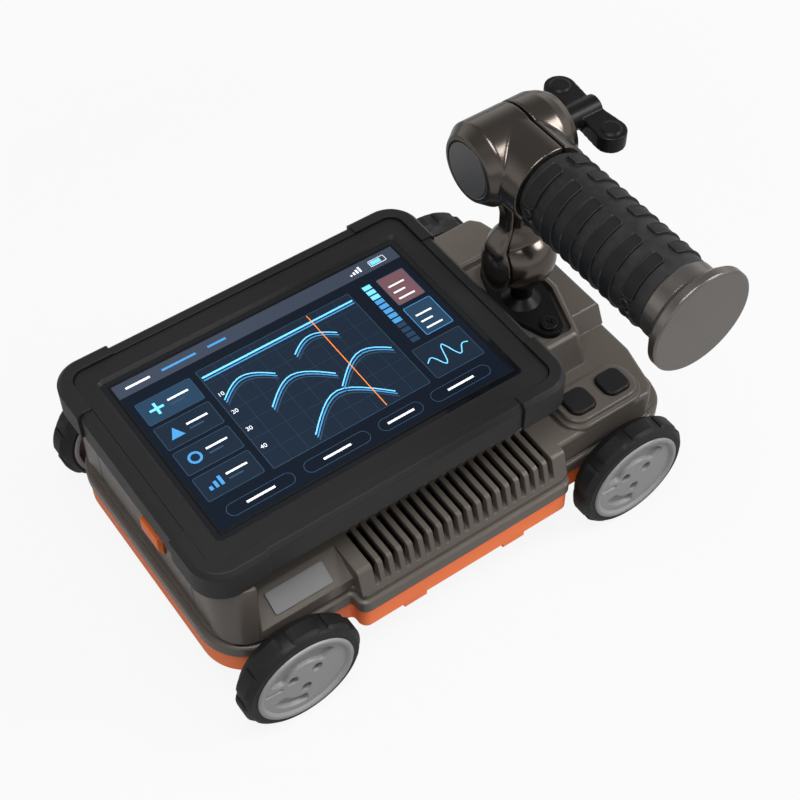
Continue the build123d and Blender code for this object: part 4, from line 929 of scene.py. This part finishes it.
def makeScreen(sizes):
    low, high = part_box("display_trim")
    edge = sizes["edge"] * mm
    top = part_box("touch_glass")[1][2]
    width = (high[0] - low[0] - 2 * edge) / mm
    height = (high[1] - low[1] - 2 * edge) / mm
    draw = ScreenDrawing(sizes, Vector((low[0] + edge, low[1] + edge, top)))
    draw.rect(0, 0, width, height, "navy", 0)
    drawBars(draw, barSizes, width, height)
    drawTiles(draw, tileSizes)
    drawPlot(draw, plotSizes)
    drawSide(draw, sideSizes, width)
    drawNumbers(draw, numberSizes, plotSizes["box"])
    mesh = bpy.data.meshes.new("screenPicture")
    draw.bm.to_mesh(mesh)
    draw.bm.free()
    for name, colour in screenColours.items():
        tint = tuple(sizes["tintShare"] * c for c in colour)
        mesh.materials.append(surfaceFinish("screen_" + name, {**screenLook, "colour": colour, "tint": tint}))
    newPiece("screenPicture", mesh, "chassis")


makeScreen(screenSizes)
print("screen picture made:", len(screenColours), "tones")

# stage: a white backdrop and floor, two soft lights and the photo's camera, in metres
stageLook = {"size": 24.0, "floorZ": -0.007, "floorShade": 0.42, "floorRough": 0.9, "floorWhite": 0.90,
             "floorGloss": 0.15, "fadeFrom": 0.35, "fadeTo": 1.3, "skyLevel": 0.50, "sideLevel": 0.08,
             "backdropGloss": 1.0, "dimFrom": 0.25, "dimTo": 0.65, "lowTone": 1.0, "highTone": 0.24}
lightLook = {
    "keyLight": {"place": (-0.22, -0.30, 1.35), "aim": (0, 0, 0.06), "size": 0.8, "power": 15.5},
    "fillLight": {"place": (0.90, -0.62, 1.05), "aim": (0, 0, 0.06), "size": 0.6, "power": 12.0},
}
cameraLook = {"sensor": 36.0, "lens": 72.72, "place": (-0.29567, -0.45493, 0.73569),
              "right": (0.81653, -0.57729, -0.00393), "up": (0.45028, 0.63260, 0.63013),
              "back": (-0.36128, -0.51629, 0.77648)}


# rays that should meet plain white, with reflections taken by the share given
def seenRay(tree, glossShare):
    path = addNode(tree, "ShaderNodeLightPath")
    seen = addNode(tree, "ShaderNodeMath", operation="MAXIMUM")
    seenAll = addNode(tree, "ShaderNodeMath", operation="MAXIMUM")
    tree.links.new(path.outputs["Is Camera Ray"], seen.inputs[0])
    gloss = addNode(tree, "ShaderNodeMath", {1: glossShare}, operation="MULTIPLY")
    tree.links.new(path.outputs["Is Glossy Ray"], gloss.inputs[0])
    tree.links.new(gloss.outputs[0], seen.inputs[1])
    tree.links.new(seen.outputs[0], seenAll.inputs[0])
    tree.links.new(path.outputs["Is Transmission Ray"], seenAll.inputs[1])
    return seenAll.outputs[0]


# soft overhead light that falls off towards the horizon, and a white backdrop that darkens overhead
def makeWorld(look):
    world = bpy.data.worlds.new("studio")
    scene.world = world
    world.use_nodes = True
    tree = world.node_tree
    tree.nodes.clear()
    out = addNode(tree, "ShaderNodeOutputWorld")
    coords = addNode(tree, "ShaderNodeTexCoord")
    parts = addNode(tree, "ShaderNodeSeparateXYZ")
    level = addNode(tree, "ShaderNodeMapRange", {"To Min": look["sideLevel"], "To Max": look["skyLevel"]})
    lit = addNode(tree, "ShaderNodeBackground", {"Color": (1, 1, 1, 1)})
    white = addNode(tree, "ShaderNodeBackground", {"Color": (1, 1, 1, 1)})
    tone = addNode(tree, "ShaderNodeMapRange", {"From Min": look["dimFrom"], "From Max": look["dimTo"],
                                                "To Min": look["lowTone"], "To Max": look["highTone"]})
    tree.links.new(parts.outputs["Z"], tone.inputs["Value"])
    tree.links.new(tone.outputs["Result"], white.inputs["Strength"])
    mix = addNode(tree, "ShaderNodeMixShader")
    tree.links.new(coords.outputs["Generated"], parts.inputs[0])
    tree.links.new(parts.outputs["Z"], level.inputs["Value"])
    tree.links.new(level.outputs["Result"], lit.inputs["Strength"])
    tree.links.new(seenRay(tree, look["backdropGloss"]), mix.inputs["Fac"])
    tree.links.new(lit.outputs[0], mix.inputs[1])
    tree.links.new(white.outputs[0], mix.inputs[2])
    tree.links.new(mix.outputs[0], out.inputs["Surface"])


# the shadow lies near the object, and the floor runs out to white
def makeFloor(look):
    half, z = look["size"] / 2, look["floorZ"]
    corners = [(-half, -half, z), (half, -half, z), (half, half, z), (-half, half, z)]
    mesh = bpy.data.meshes.new("floor")
    mesh.from_pydata(corners, [], [(0, 1, 2, 3)])
    floor = bpy.data.objects.new("floor", mesh)
    scene.collection.objects.link(floor)
    material, tree, shader = newMaterial("paleFloor")
    shade = look["floorShade"]
    shader.inputs["Base Color"].default_value = (shade, shade, shade, 1)
    shader.inputs["Roughness"].default_value = look["floorRough"]
    white = addNode(tree, "ShaderNodeEmission")
    coords = addNode(tree, "ShaderNodeTexCoord")
    reach = addNode(tree, "ShaderNodeVectorMath", operation="LENGTH")
    fade = addNode(tree, "ShaderNodeMapRange", {"From Min": look["fadeFrom"], "From Max": look["fadeTo"],
                                                "To Min": look["floorWhite"]})
    share = addNode(tree, "ShaderNodeMath", operation="MULTIPLY")
    tree.links.new(coords.outputs["Object"], reach.inputs[0])
    tree.links.new(reach.outputs["Value"], fade.inputs["Value"])
    tree.links.new(fade.outputs["Result"], share.inputs[1])
    mix = addNode(tree, "ShaderNodeMixShader")
    out = tree.nodes["Material Output"]
    tree.links.new(seenRay(tree, look["floorGloss"]), share.inputs[0])
    tree.links.new(share.outputs[0], mix.inputs["Fac"])
    tree.links.new(shader.outputs["BSDF"], mix.inputs[1])
    tree.links.new(white.outputs[0], mix.inputs[2])
    tree.links.new(mix.outputs[0], out.inputs["Surface"])
    mesh.materials.append(material)


def areaLight(name, look):
    lamp = bpy.data.lights.new(name, "AREA")
    lamp.shape = "DISK"
    lamp.size = look["size"]
    lamp.energy = look["power"]
    light = bpy.data.objects.new(name, lamp)
    light.location = look["place"]
    away = Vector(look["aim"]) - Vector(look["place"])
    light.rotation_euler = away.to_track_quat("-Z", "Y").to_euler()
    scene.collection.objects.link(light)


def makeCamera(look):
    camera = bpy.data.cameras.new("photoView")
    camera.sensor_width = look["sensor"]
    camera.lens = look["lens"]
    holder = bpy.data.objects.new("photoView", camera)
    turn = Matrix((look["right"], look["up"], look["back"])).transposed().to_4x4()
    holder.matrix_world = Matrix.Translation(look["place"]) @ turn
    scene.collection.objects.link(holder)
    scene.camera = holder


makeWorld(stageLook)
makeFloor(stageLook)
for name, look in lightLook.items():
    areaLight(name, look)
makeCamera(cameraLook)
scene.view_settings.view_transform = "Standard"
print("stage set")
